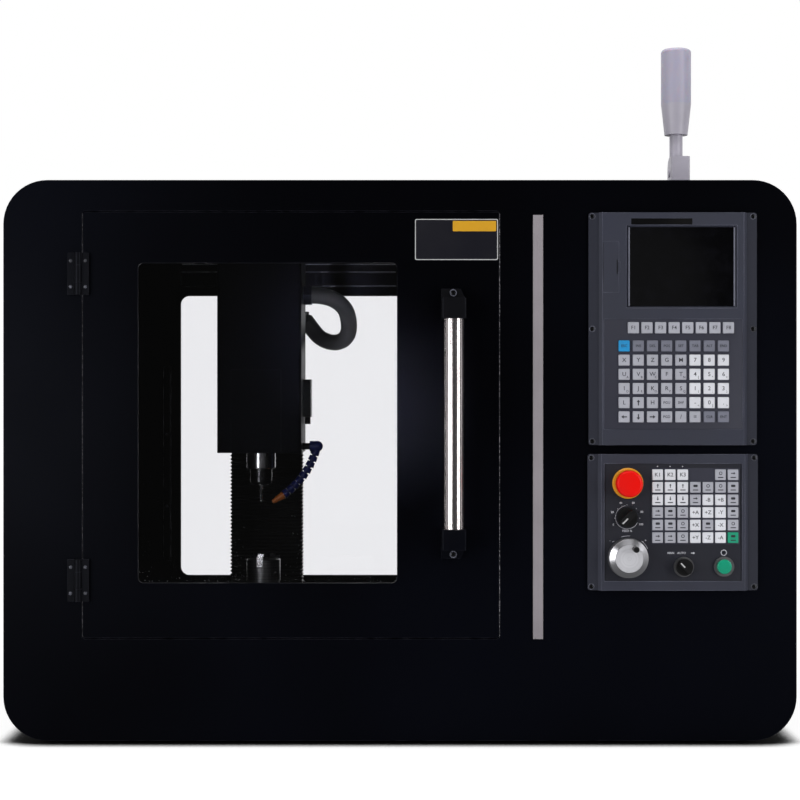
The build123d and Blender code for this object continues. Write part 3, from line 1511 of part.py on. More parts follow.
with BuildPart() as lamp_stem:
    bar(lamp_depth, lamp_pivot_z, lamp_pivot_radius,
        (lamp_x - lamp_foot_width / 2, lamp_x + lamp_foot_width / 2))
    bar(lamp_depth, lamp_pivot_z, lamp_tang_radius,
        (lamp_x - lamp_slot_width / 2, lamp_x + lamp_slot_width / 2))
    block((lamp_x - lamp_slot_width / 2, lamp_x + lamp_slot_width / 2),
          (lamp_depth - lamp_tang_radius, lamp_depth + lamp_tang_radius),
          (lamp_pivot_z, lamp_pole_bottom + lamp_clearance))
    stand(lamp_pole_x, lamp_depth, lamp_pole_radius, (lamp_pole_bottom + lamp_clearance, lamp_cup_bottom))
    with BuildSketch(level(lamp_cup_bottom)):
        with Locations((lamp_pole_x, y_at(lamp_depth))):
            Circle(lamp_cup_low_radius)
    with BuildSketch(level(lamp_lens_bottom)):
        with Locations((lamp_pole_x, y_at(lamp_depth))):
            Circle(lamp_cup_radius)
    loft()
    stand(lamp_pole_x, lamp_depth, lamp_lens_spigot_radius,
          (lamp_lens_bottom - lamp_lens_spigot, lamp_lens_bottom), Mode.SUBTRACT)

with BuildPart() as lamp_lens:
    stand(lamp_pole_x, lamp_depth, lamp_cup_radius,
          (lamp_lens_bottom, lamp_lens_bottom + lamp_lens_height))
    fillet(lamp_lens.edges().filter_by(GeomType.CIRCLE).sort_by(Axis.Z)[-1], lamp_lens_fillet)
    stand(lamp_pole_x, lamp_depth, lamp_lens_spigot_radius - running_clearance,
          (lamp_lens_bottom - lamp_lens_spigot, lamp_lens_bottom))

pieces = {
    "front_panel": front_panel, "hood": hood, "base_pan": base_pan, "rear_panel": rear_panel,
    "rear_window": rear_window, "cabinet_partition": cabinet_partition,
    "cabinet_modules": cabinet_modules, "rubber_feet": rubber_feet, "bed": bed, "column": column,
    "guide_rails": guide_rails, "axis_motors": axis_motors, "z_bellows": z_bellows,
    "light_strip": light_strip, "hinge_posts": hinge_posts, "screen_bezel": screen_bezel,
    "display": display, "main_keys": main_keys, "operator_bezel": operator_bezel,
    "operator_keys": operator_keys, "estop_collar": estop_collar,
    "control_collars": control_collars, "lamp_foot": lamp_foot, "conduit": conduit,
    "door_panel": door_panel, "door_window": door_window, "window_seal": window_seal,
    "handle_tube": handle_tube, "handle_brackets": handle_brackets, "hinge_leaves": hinge_leaves,
    "saddle": saddle, "table": table, "x_rails": x_rails, "x_motor": x_motor,
    "chuck_body": chuck_body, "chuck_jaw_1": chuck_jaw_1, "chuck_jaw_2": chuck_jaw_2,
    "chuck_jaw_3": chuck_jaw_3, "head_casting": head_casting, "head_cover": head_cover,
    "spindle_motor": spindle_motor, "head_terminal_box": head_terminal_box, "spindle": spindle,
    "collet_nut": collet_nut, "end_mill": end_mill, "x_screw": x_screw, "y_screw": y_screw,
    "z_screw": z_screw, "coolant_hose": coolant_hose, "coolant_nozzle": coolant_nozzle,
    "estop_head": estop_head, "feed_knob": feed_knob, "handwheel": handwheel,
    "finger_knob": finger_knob, "mode_knob": mode_knob, "start_button": start_button,
    "usb_flap": usb_flap, "lamp_stem": lamp_stem, "lamp_lens": lamp_lens,
}
for name, piece in pieces.items():
    piece.part.label = name
    export_step(piece.part, f"parts/{name}.step")
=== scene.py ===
"""Looks of an enclosed benchtop milling machine, laid out as a Blender add-on and run as a script.

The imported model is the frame: its nodes get their finishes here, and the pieces that need a finer form
than the frame holds are modelled around it. Metres, +Z up, front towards -Y.
"""
import math
import random

import bmesh
import bpy
from mathutils import Matrix, Vector


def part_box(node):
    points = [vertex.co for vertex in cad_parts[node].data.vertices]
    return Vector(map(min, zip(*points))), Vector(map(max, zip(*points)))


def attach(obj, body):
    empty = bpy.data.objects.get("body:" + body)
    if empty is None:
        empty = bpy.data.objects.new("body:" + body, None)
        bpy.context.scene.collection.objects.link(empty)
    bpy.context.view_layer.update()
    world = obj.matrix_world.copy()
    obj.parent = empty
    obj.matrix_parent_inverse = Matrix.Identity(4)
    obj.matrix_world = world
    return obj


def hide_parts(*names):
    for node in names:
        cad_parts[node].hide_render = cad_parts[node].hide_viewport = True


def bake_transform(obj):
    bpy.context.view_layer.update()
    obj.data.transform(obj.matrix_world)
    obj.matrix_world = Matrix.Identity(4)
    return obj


bl_info = {
    "name": "Benchtop Mill Looks",
    "version": (1, 0, 0),
    "blender": (4, 5, 0),
    "location": "View3D > Sidebar > Mill",
    "description": "Finishes and fine pieces of an enclosed benchtop milling machine",
    "category": "Object",
}

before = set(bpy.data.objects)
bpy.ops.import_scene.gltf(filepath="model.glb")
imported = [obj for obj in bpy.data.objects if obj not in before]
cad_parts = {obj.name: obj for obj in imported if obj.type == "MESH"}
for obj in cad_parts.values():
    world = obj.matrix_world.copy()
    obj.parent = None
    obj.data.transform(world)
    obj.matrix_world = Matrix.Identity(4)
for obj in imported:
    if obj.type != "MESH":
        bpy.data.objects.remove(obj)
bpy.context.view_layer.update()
MM = 0.001
FULL_TURN = 2 * math.pi
# Points this near count as one, and fine marks need the finer limit
TOUCH = 1e-6
FINE_TOUCH = 1e-7
# Share of a unit direction that counts as along an axis
ALONG = 0.99
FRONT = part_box("front_panel")[0][1]


def deep(depth):
    """World Y of a depth counted from the outer face of the front panel into the machine."""
    return FRONT + depth


def halfway(low, high):
    """Middle of a box."""
    return (Vector(low) + Vector(high)) / 2


def screen_colour(red, green, blue):
    """Linear colour of an 8 bit screen colour."""
    shares = [value / 255 for value in (red, green, blue)]
    return tuple(s / 12.92 if s <= 0.04045 else ((s + 0.055) / 1.055) ** 2.4 for s in shares)


def length(name, text, default):
    """Length property in metres."""
    return bpy.props.FloatProperty(name=name, description=text, default=default, unit="LENGTH")


def place(name, text, default):
    """Place property: X and Z on the front of the machine, in metres."""
    return bpy.props.FloatVectorProperty(name=name, description=text, default=default, size=2,
                                         subtype="XYZ", unit="LENGTH")


def colour(name, text, default):
    """Colour property from an 8 bit screen colour."""
    return bpy.props.FloatVectorProperty(name=name, description=text, default=screen_colour(*default),
                                         size=3, subtype="COLOR", min=0.0, max=1.0)


def number(name, text, default):
    """Plain number property."""
    return bpy.props.FloatProperty(name=name, description=text, default=default)


def power(name, text, default):
    """Lamp power property in watts."""
    return bpy.props.FloatProperty(name=name, description=text, default=default, unit="POWER")


class MILL_PG_panel(bpy.types.PropertyGroup):
    """Sizes and places of the keys, marks and fasteners on the front."""
    main_key: length("Main key", "Side of a key on the main panel", 0.0168)
    main_pitch: length("Main pitch", "Middle to middle of the main keys", 0.0212)
    main_middle: place("Main middle", "Middle of the main key field", (0.4092, 0.5438))
    function_key: length("Function key", "Side of a key in the function row", 0.017)
    function_pitch: length("Function pitch", "Middle to middle of the function keys", 0.0203)
    function_middle: place("Function middle", "Middle of the function row", (0.420, 0.624))
    operator_key: length("Operator key", "Side of a key on the operator panel", 0.0162)
    operator_pitch: length("Operator pitch", "Middle to middle of the operator keys", 0.0188)
    operator_first: place("Operator first", "Middle of the first operator key", (0.3852, 0.4042))
    key_taper: length("Key taper", "How much narrower a key is at its front, each side", 0.0004)
    key_corner: length("Key corner", "Corner radius of a key", 0.0011)
    key_dish: length("Key dish", "Depth of the hollow in the front of a key", 0.00025)
    sheet: length("Key sheet", "Thickness of the sheet that carries the keys", 0.001)
    ink: length("Ink", "Thickness of a printed mark", 0.00012)
    operator_floor: length("Operator floor", "How far the operator field stands before the front", 0.007)
    bezel_face: length("Bezel face", "How far the bezels stand before the front panel", 0.009)
    flange_face: length("Flange face", "How far the screw flanges stand before the front panel", 0.004)
    wheel_face: length("Wheel face", "Radius of the matt face of the hand wheel", 0.0208)
    bold: length("Bold", "How much the strokes of the marks are thickened", 0.00006)
    screw_inset: length("Screw inset", "From the edge of a bezel to its screws", 0.0055)
    screw_radius: length("Screw radius", "Radius of a bezel screw head", 0.0031)
    feed_middle: place("Feed middle", "Axis of the feed knob", (0.3398, 0.3405))
    wheel_middle: place("Wheel middle", "Axis of the hand wheel", (0.3408, 0.280))
    mode_middle: place("Mode middle", "Axis of the mode knob", (0.4242, 0.2665))
    start_middle: place("Start middle", "Axis of the start button", (0.4845, 0.267))
    feed_pointer: length("Feed pointer", "Reach of the feed knob's pointer from its axis", 0.0125)
    mode_pointer: length("Mode pointer", "Reach of the mode knob's pointer from its axis", 0.0102)
    pointer_width: length("Pointer width", "Width of the white pointers", 0.002)
    film_width: length("Film width", "Width of the dark film on the operator panel", 0.2054)
    film_height: length("Film height", "Height of the dark film on the operator panel", 0.1754)
    film_thick: length("Film thickness", "Thickness of the dark film", 0.0001)
    strip_middle: place("Strip middle", "Middle of the bare black strip over the screen", (0.3915, 0.783))
    strip_width: length("Strip width", "Width of the bare black strip", 0.0916)
    strip_height: length("Strip height", "Height of the bare black strip", 0.0091)
    hinge_height: length("Hinge height", "Height of a door hinge", 0.063)
    leaf_screw: length("Leaf screw", "From the edge of a hinge leaf to its screws", 0.005)
    knuckle_lead: length("Knuckle lead", "How far a hinge knuckle stands before its leaves", 0.0055)
    plate_low: place("Plate low", "Lower left corner of the plain door plate", (0.0225, 0.726))
    plate_high: place("Plate high", "Upper right corner of the plain door plate", (0.147, 0.7875))


class MILL_PG_inside(bpy.types.PropertyGroup):
    """Sizes of the pieces behind the window."""
    conduit_radius: length("Conduit radius", "Outer radius of the conduit", 0.014)
    pleat_edge: length("Pleat edge", "Rounding of the folds of the pleated cover", 0.0004)
    thread_lead: length("Thread lead", "Lead of the ball screws", 0.010)
    thread_depth: length("Thread depth", "Depth of the ball groove", 0.0011)
    journal: length("Journal", "Length of the plain end of a ball screw", 0.012)
    flute_length: length("Flute length", "Length of the cutting end of the end mill", 0.020)
    chip_size: length("Chip size", "Length of a chip of metal", 0.0042)
    chip_rise: length("Chip rise", "Height of the lowest chips over the foot of the pleated cover", 0.094)
    strip_face: length("Strip face", "Depth of the front of the strips on the rear panel", 0.690)
    sheet_face: length("Sheet face", "Depth of the inside of the rear panel", 0.698)
    pane_lap: length("Pane lap", "How far the window pane runs behind the door sheet", 0.016)


class MILL_PG_colours(bpy.types.PropertyGroup):
    """Colours of the finishes."""
    paint: colour("Paint", "Enclosure paint", (3, 3, 5))
    # Painted sheen: lighter blue painted into the enclosure paint as a reflection of light
    painted_sheen: colour("Paint sheen", "Blue cast in the enclosure paint", (6, 7, 13))
    # Bare edge: rubbed paint on sheet edges, lighter also as a painted edge highlight
    bare_and_lit_edge: colour("Bare edge", "Rubbed edge of a painted sheet", (46, 46, 54))
    casting: colour("Casting", "Paint on the castings", (46, 48, 52))
    steel: colour("Steel", "Ground steel", (190, 190, 194))
    dark_steel: colour("Dark steel", "Blackened steel", (70, 71, 74))
    tube: colour("Tube", "Polished handle tube", (222, 214, 214))
    alloy: colour("Alloy", "Turned light alloy", (205, 205, 210))
    slate: colour("Slate", "Moulded panel bezels", (52, 54, 66))
    slate_dark: colour("Slate dark", "Key field of the main panel", (50, 51, 63))
    bolt: colour("Bolt", "Black bolts and washers", (34, 35, 41))
    # Slate edge: painted highlight on the edges of the bezels, bolts and washers
    slate_edge_highlight: colour("Slate edge", "Worn edges of the panel bezels", (112, 114, 130))
    film: colour("Film", "Dark film on the operator panel", (36, 37, 46))
    key_light: colour("Light key", "Light grey keys", (164, 165, 175))
    key_white: colour("White key", "White keys", (214, 215, 222))
    key_grey: colour("Grey key", "Mid grey keys", (112, 114, 128))
    key_blue: colour("Blue key", "Blue key", (10, 140, 200))
    key_green: colour("Green key", "Green key and start button", (4, 146, 112))
    ink_dark: colour("Dark ink", "Marks on the keys", (36, 37, 44))
    ink_pale: colour("Pale ink", "Marks on the panels", (196, 196, 204))
    stop_red: colour("Stop red", "Emergency stop head", (226, 14, 6))
    stop_yellow: colour("Stop yellow", "Emergency stop collar", (222, 150, 18))
    hose_blue: colour("Hose blue", "Links of the coolant hose", (12, 30, 104))
    nozzle_orange: colour("Nozzle orange", "Coolant nozzle", (226, 128, 50))
    rubber: colour("Rubber", "Rubber and coated fabric", (20, 20, 22))
    knob: colour("Knob", "Black knobs", (18, 18, 20))
    lamp_body: colour("Lamp body", "Body of the signal lamp", (178, 174, 187))
    lamp_lens: colour("Lamp lens", "Frosted lens of the signal lamp", (168, 165, 184))
    light_strip: colour("Light strip", "Unlit light strip", (142, 136, 141))
    plate_white: colour("Plate white", "Rim of the door plate", (182, 182, 184))
    plate_dark: colour("Plate dark", "Field of the door plate", (22, 22, 30))
    plate_yellow: colour("Plate yellow", "Band of the door plate", (206, 152, 12))
    # Pale seam light: painted light in the door seams, also the colour of dried coolant residue
    seam_light_and_residue: colour("Felt", "Pile of the door seals", (176, 174, 180))


class MILL_PG_studio(bpy.types.PropertyGroup):
    """Camera and light."""
    camera_distance: length("Camera distance", "From the camera to the front panel", 2.8)
    camera_height: length("Camera height", "Height of the level camera", 0.516)
    lens: bpy.props.FloatProperty(name="Lens", description="Focal length of the camera",
                                  default=84.0, subtype="DISTANCE_CAMERA")
    room: number("Room", "Light of the room on the object", 0.3)
    dark_side: number("Dark side", "Brightness of the room behind the camera in reflections", 0.03)
    shadow_reach: length("Shadow reach", "How far the contact shadow spreads on the floor", 0.045)
    side_power: power("Side power", "Power of each side light", 22.0)
    top_power: power("Top power", "Power of the top light", 33.0)
    window_power: power("Window light", "Power of the light from the left", 7.0)
    fill_power: power("Fill light", "Power of the narrow light on the rear panel", 0.8)
    dish_power: power("Dish power", "Power of the round dish", 0.1)


# Settings of the open scene

def panel():
    return bpy.context.scene.mill_panel


def inside():
    return bpy.context.scene.mill_inside


def colours():
    return bpy.context.scene.mill_colours


def studio():
    return bpy.context.scene.mill_studio


# Modelling by hand: selection, primitives and copies

def activate(*pieces):
    """Leaves only these pieces selected, the last one active."""
    if bpy.context.object and bpy.context.object.mode != "OBJECT":
        bpy.ops.object.mode_set(mode="OBJECT")
    bpy.ops.object.select_all(action="DESELECT")
    for piece in pieces:
        piece.select_set(True)
    if pieces:
        bpy.context.view_layer.objects.active = pieces[-1]


def fresh(name):
    """Names the object that an operator has just added."""
    piece = bpy.context.object
    piece.name = name
    piece.data.name = name
    return piece


def settle(piece):
    """Puts the place of a piece in its mesh, with its object at the origin."""
    activate(piece)
    bpy.ops.object.transform_apply(location=True, rotation=True, scale=True)
    return piece


def add_block(name, low, high):
    """Block between two corners."""
    activate()
    bpy.ops.mesh.primitive_cube_add(size=1.0, location=[(a + b) / 2 for a, b in zip(low, high)])
    piece = fresh(name)
    piece.scale = [b - a for a, b in zip(low, high)]
    return settle(piece)


def add_plate(name, middle, size, y_range):
    """Block about a place on the front, with a width and a height, between two Y."""
    (x, z), (width, height), (front, back) = middle, size, y_range
    return add_block(name, (x - width / 2, front, z - height / 2), (x + width / 2, back, z + height / 2))


def add_drum(name, radius, y_range, middle=(0.0, 0.0), sides=24):
    """Drum whose axis runs front to back, at a place on the front."""
    activate()
    bpy.ops.mesh.primitive_cylinder_add(vertices=sides, radius=radius, depth=y_range[1] - y_range[0],
                                        location=(middle[0], sum(y_range) / 2, middle[1]),
                                        rotation=(math.pi / 2, 0, 0))
    return settle(fresh(name))


def pick(piece, kind, test):
    """Goes into edit mode with the faces or edges chosen that pass a test."""
    activate(piece)
    bpy.ops.object.mode_set(mode="EDIT")
    bpy.ops.mesh.select_mode(type="EDGE")
    bpy.ops.mesh.select_all(action="DESELECT")
    bpy.ops.mesh.select_mode(type=kind)
    mesh = bmesh.from_edit_mesh(piece.data)
    for part in (mesh.faces if kind == "FACE" else mesh.edges):
        if test(part):
            part.select_set(True)
    bmesh.update_edit_mesh(piece.data)


def leave(piece):
    """Back to object mode."""
    bpy.ops.object.mode_set(mode="OBJECT")
    return piece


def faces_front(face):
    return face.normal.y < -ALONG


def edge_runs(axis):
    """Test for edges along one axis."""
    def test(edge):
        run = edge.verts[1].co - edge.verts[0].co
        return abs(run[axis]) > ALONG * run.length
    return test


def rim_at(y):
    """Test for edges that lie at one Y."""
    return lambda edge: all(abs(vert.co.y - y) < TOUCH for vert in edge.verts)


def lies_level(edge):
    return abs(edge.verts[0].co.z - edge.verts[1].co.z) < FINE_TOUCH


def soften(piece, test, offset, segments=2):
    """Bevels the edges that pass a test."""
    pick(piece, "EDGE", test)
    bpy.ops.mesh.bevel(offset=offset, offset_type="OFFSET", segments=segments, affect="EDGES")
    return leave(piece)


def sink_front(piece, margin, depth):
    """Insets the front face and pushes the inside back."""
    pick(piece, "FACE", faces_front)
    bpy.ops.mesh.inset(thickness=margin)
    bpy.ops.transform.translate(value=(0, depth, 0))
    return leave(piece)


def dish_front(piece, share, front, depth):
    """Draws in the front face to a share of its width and pushes the inside back."""
    pick(piece, "FACE", faces_front)
    bpy.ops.mesh.extrude_region_move()
    bpy.ops.transform.resize(value=(share, 1, share), center_override=(0, front, 0))
    bpy.ops.transform.translate(value=(0, depth, 0))
    return leave(piece)


def pocket_front(piece, margin, depth):
    """Cuts a straight-sided pocket into the front face."""
    pick(piece, "FACE", faces_front)
    bpy.ops.mesh.inset(thickness=margin)
    bpy.ops.mesh.extrude_region_move(TRANSFORM_OT_translate={"value": (0, depth, 0)})
    return leave(piece)


def copy_to(model, moves, name):
    """Copies a model to each place, joins the copies and deletes the model."""
    parts = []
    for move in moves:
        part = bpy.data.objects.new(name, model.data.copy())
        bpy.context.collection.objects.link(part)
        part.matrix_world = move if isinstance(move, Matrix) else Matrix.Translation(move)
        parts.append(part)
    bpy.data.objects.remove(model)
    return join(parts, name)


def join(parts, name):
    """Joins pieces into one."""
    activate(*parts)
    if len(parts) > 1:
        bpy.ops.object.join()
    return settle(fresh(name))


def weld(piece, distance=TOUCH, outward=True):
    """Merges doubles, and turns the faces outwards."""
    activate(piece)
    bpy.ops.object.mode_set(mode="EDIT")
    bpy.ops.mesh.select_all(action="SELECT")
    bpy.ops.mesh.remove_doubles(threshold=distance)
    if outward:
        bpy.ops.mesh.normals_make_consistent(inside=False)
    return leave(piece)


def apply_modifiers(piece):
    activate(piece)
    for modifier in list(piece.modifiers):
        bpy.ops.object.modifier_apply(modifier=modifier.name)
    return piece


def write(words, size, middle, y, name, bold=0.0):
    """Flat lettering that faces the front, at a place, standing a little before Y."""
    activate()
    bpy.ops.object.text_add()
    piece = fresh(name)
    piece.data.body = words
    piece.data.size = size
    piece.data.offset = bold
    piece.data.align_x = "CENTER"
    piece.data.align_y = "CENTER"
    piece.data.resolution_u = 2
    piece.data.extrude = panel().ink / 2
    bpy.ops.object.convert(target="MESH")
    piece = bpy.context.object
    piece.rotation_euler = (math.pi / 2, 0, 0)
    piece.location = (middle[0], y - panel().ink / 2, middle[1])
    return settle(piece)


def finish_piece(piece, finish, body, angle=35):
    """Shades a finished piece, gives it its finish and lets it ride on a body."""
    activate(piece)
    bpy.ops.object.shade_smooth_by_angle(angle=math.radians(angle))
    piece.data.materials.clear()
    piece.data.materials.append(finish)
    if body:
        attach(piece, body)
    return piece


# Effects that several finishes share

def new_group(name, inputs, outputs):
    """Shader node group with plain number inputs and outputs."""
    group = bpy.data.node_groups.new(name, "ShaderNodeTree")
    for socket, value in inputs.items():
        made = group.interface.new_socket(socket, in_out="INPUT", socket_type="NodeSocketFloat")
        made.default_value = value
    for socket in outputs:
        group.interface.new_socket(socket, in_out="OUTPUT", socket_type="NodeSocketFloat")
    source = group.nodes.new("NodeGroupInput")
    target = group.nodes.new("NodeGroupOutput")
    return group, source, target


def object_point(tree, stretch=(1.0, 1.0, 1.0)):
    """Object coordinates, stretched by a mapping."""
    coordinates = tree.nodes.new("ShaderNodeTexCoord")
    mapping = tree.nodes.new("ShaderNodeMapping")
    mapping.inputs["Scale"].default_value = stretch
    tree.links.new(coordinates.outputs["Object"], mapping.inputs["Vector"])
    return mapping.outputs["Vector"]


def noise(tree, point, scale, detail=2.0, roughness=0.5):
    """Noise value; scale is a number or a socket."""
    node = tree.nodes.new("ShaderNodeTexNoise")
    node.inputs["Detail"].default_value = detail
    node.inputs["Roughness"].default_value = roughness
    tree.links.new(point, node.inputs["Vector"])
    feed(tree, scale, node.inputs["Scale"])
    return node.outputs["Fac"]


def feed(tree, value, socket):
    """Sets a socket from a number or links it to another socket."""
    if isinstance(value, (int, float)):
        socket.default_value = value
    else:
        tree.links.new(value, socket)


def math_node(tree, operation, *values):
    node = tree.nodes.new("ShaderNodeMath")
    node.operation = operation
    for value, socket in zip(values, node.inputs):
        feed(tree, value, socket)
    return node.outputs["Value"]


def ramp(tree, value, low, high):
    """Smooth step of a value between two levels."""
    node = tree.nodes.new("ShaderNodeMapRange")
    node.interpolation_type = "SMOOTHSTEP"
    feed(tree, value, node.inputs["Value"])
    feed(tree, low, node.inputs["From Min"])
    feed(tree, high, node.inputs["From Max"])
    return node.outputs["Result"]


def mix_values(tree, share, first, second):
    """Value between two values; the first four sockets of a Mix node are share, share, first and second."""
    node = tree.nodes.new("ShaderNodeMix")
    for value, place_of in ((share, 0), (first, 2), (second, 3)):
        feed(tree, value, node.inputs[place_of])
    return node.outputs[0]


def spread(tree, value, middle, width):
    """A 0 to 1 value spread about a middle level."""
    centred = math_node(tree, "SUBTRACT", value, 0.5)
    return math_node(tree, "MULTIPLY_ADD", centred, width, middle)


def build_paint_group():
    """Sprayed paint: orange peel, a cloudy gloss and a painted sheen that drifts at random towards a lighter
    blue.
    """
    tree, source, target = new_group(
        "sprayed_paint", {"Roughness": 0.35, "Cloud": 0.08, "Peel": 1700.0}, ("Roughness", "Height", "Painted Sheen"))
    point = object_point(tree)
    cloud = noise(tree, point, 9.0, 4.0)
    tree.links.new(spread(tree, cloud, source.outputs["Roughness"], source.outputs["Cloud"]),
                   target.inputs["Roughness"])
    tree.links.new(noise(tree, point, source.outputs["Peel"], 1.0), target.inputs["Height"])
    tree.links.new(ramp(tree, noise(tree, point, 1.6, 2.0), 0.35, 0.7), target.inputs["Painted Sheen"])


def build_edge_group():
    """Rubbed edges, also used as painted edge highlights: where the rounded normal leaves the true one,
    broken up by noise.
    """
    tree, source, target = new_group(
        "rubbed_and_lit_edge", {"Reach": 0.0012, "Break Up": 60.0, "Gain": 1.0}, ("Mask",))
    rounded = tree.nodes.new("ShaderNodeBevel")
    rounded.samples = 4
    tree.links.new(source.outputs["Reach"], rounded.inputs["Radius"])
    geometry = tree.nodes.new("ShaderNodeNewGeometry")
    dot = tree.nodes.new("ShaderNodeVectorMath")
    dot.operation = "DOT_PRODUCT"
    tree.links.new(rounded.outputs["Normal"], dot.inputs[0])
    tree.links.new(geometry.outputs["True Normal"], dot.inputs[1])
    edge = ramp(tree, dot.outputs["Value"], 0.985, 0.84)
    broken = ramp(tree, noise(tree, object_point(tree), source.outputs["Break Up"], 4.0), 0.32, 0.62)
    worn = math_node(tree, "MULTIPLY", edge, source.outputs["Gain"])
    full = math_node(tree, "MINIMUM", worn, 1.0)
    tree.links.new(math_node(tree, "MULTIPLY", full, broken), target.inputs["Mask"])


def build_grain_group():
    """Fine moulded or cast grain."""
    tree, source, target = new_group(
        "moulded_grain", {"Roughness": 0.5, "Spread": 0.1, "Grain": 1500.0}, ("Roughness", "Height", "Shade"))
    point = object_point(tree)
    slow = noise(tree, point, 14.0, 3.0)
    tree.links.new(spread(tree, slow, source.outputs["Roughness"], source.outputs["Spread"]),
                   target.inputs["Roughness"])
    tree.links.new(noise(tree, point, source.outputs["Grain"], 2.0, 0.6), target.inputs["Height"])
    tree.links.new(ramp(tree, slow, 0.3, 0.75), target.inputs["Shade"])


def build_brush_group():
    """Brushed or ground metal: long scratches along one axis, set by the stretch of the noise."""
    tree, source, target = new_group(
        "brushed_metal", {"Roughness": 0.3, "Spread": 0.2, "X": 60.0, "Y": 60.0, "Z": 2.0},
        ("Roughness", "Height", "Shade"))
    coordinates = tree.nodes.new("ShaderNodeTexCoord")
    scale = tree.nodes.new("ShaderNodeCombineXYZ")
    for axis in "XYZ":
        tree.links.new(source.outputs[axis], scale.inputs[axis])
    product = tree.nodes.new("ShaderNodeVectorMath")
    product.operation = "MULTIPLY"
    tree.links.new(coordinates.outputs["Object"], product.inputs[0])
    tree.links.new(scale.outputs["Vector"], product.inputs[1])
    scratch = noise(tree, product.outputs["Vector"], 40.0, 3.0, 0.65)
    tree.links.new(spread(tree, scratch, source.outputs["Roughness"], source.outputs["Spread"]),
                   target.inputs["Roughness"])
    tree.links.new(scratch, target.inputs["Height"])
    tree.links.new(ramp(tree, noise(tree, product.outputs["Vector"], 6.0, 2.0), 0.35, 0.7),
                   target.inputs["Shade"])


def build_ring_group():
    """Turned metal: fine rings round an axis through a place, on faces and on sides."""
    tree, source, target = new_group(
        "turned_rings", {"Roughness": 0.3, "Spread": 0.15, "Place X": 0.0, "Place Y": 0.0, "Place Z": 0.0,
                         "Along X": 0.0, "Along Y": 1.0, "Along Z": 0.0},
        ("Roughness", "Height", "Shade", "Radius"))
    vectors = []
    for words in ("Place", "Along"):
        made = tree.nodes.new("ShaderNodeCombineXYZ")
        for axis in "XYZ":
            tree.links.new(source.outputs[f"{words} {axis}"], made.inputs[axis])
        vectors.append(made.outputs["Vector"])
    coordinates = tree.nodes.new("ShaderNodeTexCoord")
    arm = vector_node(tree, "SUBTRACT", coordinates.outputs["Object"], vectors[0]).outputs["Vector"]
    height = vector_node(tree, "DOT_PRODUCT", arm, vectors[1]).outputs["Value"]
    across = vector_node(tree, "CROSS_PRODUCT", arm, vectors[1]).outputs["Vector"]
    radius = vector_node(tree, "LENGTH", across)
    point = tree.nodes.new("ShaderNodeCombineXYZ")
    tree.links.new(radius.outputs["Value"], point.inputs["X"])
    tree.links.new(radius.outputs["Value"], target.inputs["Radius"])
    tree.links.new(height, point.inputs["Y"])
    rings = noise(tree, point.outputs["Vector"], 2600.0, 2.0, 0.6)
    tree.links.new(spread(tree, rings, source.outputs["Roughness"], source.outputs["Spread"]),
                   target.inputs["Roughness"])
    tree.links.new(rings, target.inputs["Height"])
    tree.links.new(ramp(tree, noise(tree, point.outputs["Vector"], 420.0, 2.0), 0.35, 0.7),
                   target.inputs["Shade"])


def vector_node(tree, operation, *sockets):
    node = tree.nodes.new("ShaderNodeVectorMath")
    node.operation = operation
    for socket, target in zip(sockets, node.inputs):
        tree.links.new(socket, target)
    return node


def build_residue_group():
    """Dried coolant and fine chips: small spots, thickest low in the work space."""
    tree, source, target = new_group(
        "coolant_residue", {"Spots": 240.0, "Amount": 0.5, "Low": 0.2, "High": 0.6}, ("Mask",))
    point = object_point(tree)
    cells = tree.nodes.new("ShaderNodeTexVoronoi")
    tree.links.new(point, cells.inputs["Vector"])
    tree.links.new(source.outputs["Spots"], cells.inputs["Scale"])
    spots = ramp(tree, cells.outputs["Distance"], 0.26, 0.14)
    patches = ramp(tree, noise(tree, point, 26.0, 4.0), 0.5, 0.66)
    parts = tree.nodes.new("ShaderNodeSeparateXYZ")
    tree.links.new(point, parts.inputs["Vector"])
    low = ramp(tree, parts.outputs["Z"], source.outputs["High"], source.outputs["Low"])
    mask = math_node(tree, "MULTIPLY", math_node(tree, "MULTIPLY", spots, patches), low)
    tree.links.new(math_node(tree, "MULTIPLY", mask, source.outputs["Amount"]), target.inputs["Mask"])


def build_dust_group():
    """Thin dust on faces that look up."""
    tree, source, target = new_group("settled_dust", {"Amount": 0.2}, ("Mask",))
    geometry = tree.nodes.new("ShaderNodeNewGeometry")
    parts = tree.nodes.new("ShaderNodeSeparateXYZ")
    tree.links.new(geometry.outputs["Normal"], parts.inputs["Vector"])
    up = ramp(tree, parts.outputs["Z"], 0.4, 0.95)
    patches = ramp(tree, noise(tree, object_point(tree), 18.0, 5.0, 0.6), 0.25, 0.8)
    mask = math_node(tree, "MULTIPLY", up, patches)
    tree.links.new(math_node(tree, "MULTIPLY", mask, source.outputs["Amount"]), target.inputs["Mask"])


# Places of the colour sockets among all sockets of a Mix node
MIX_FIRST, MIX_SECOND, MIX_RESULT = 6, 7, 2


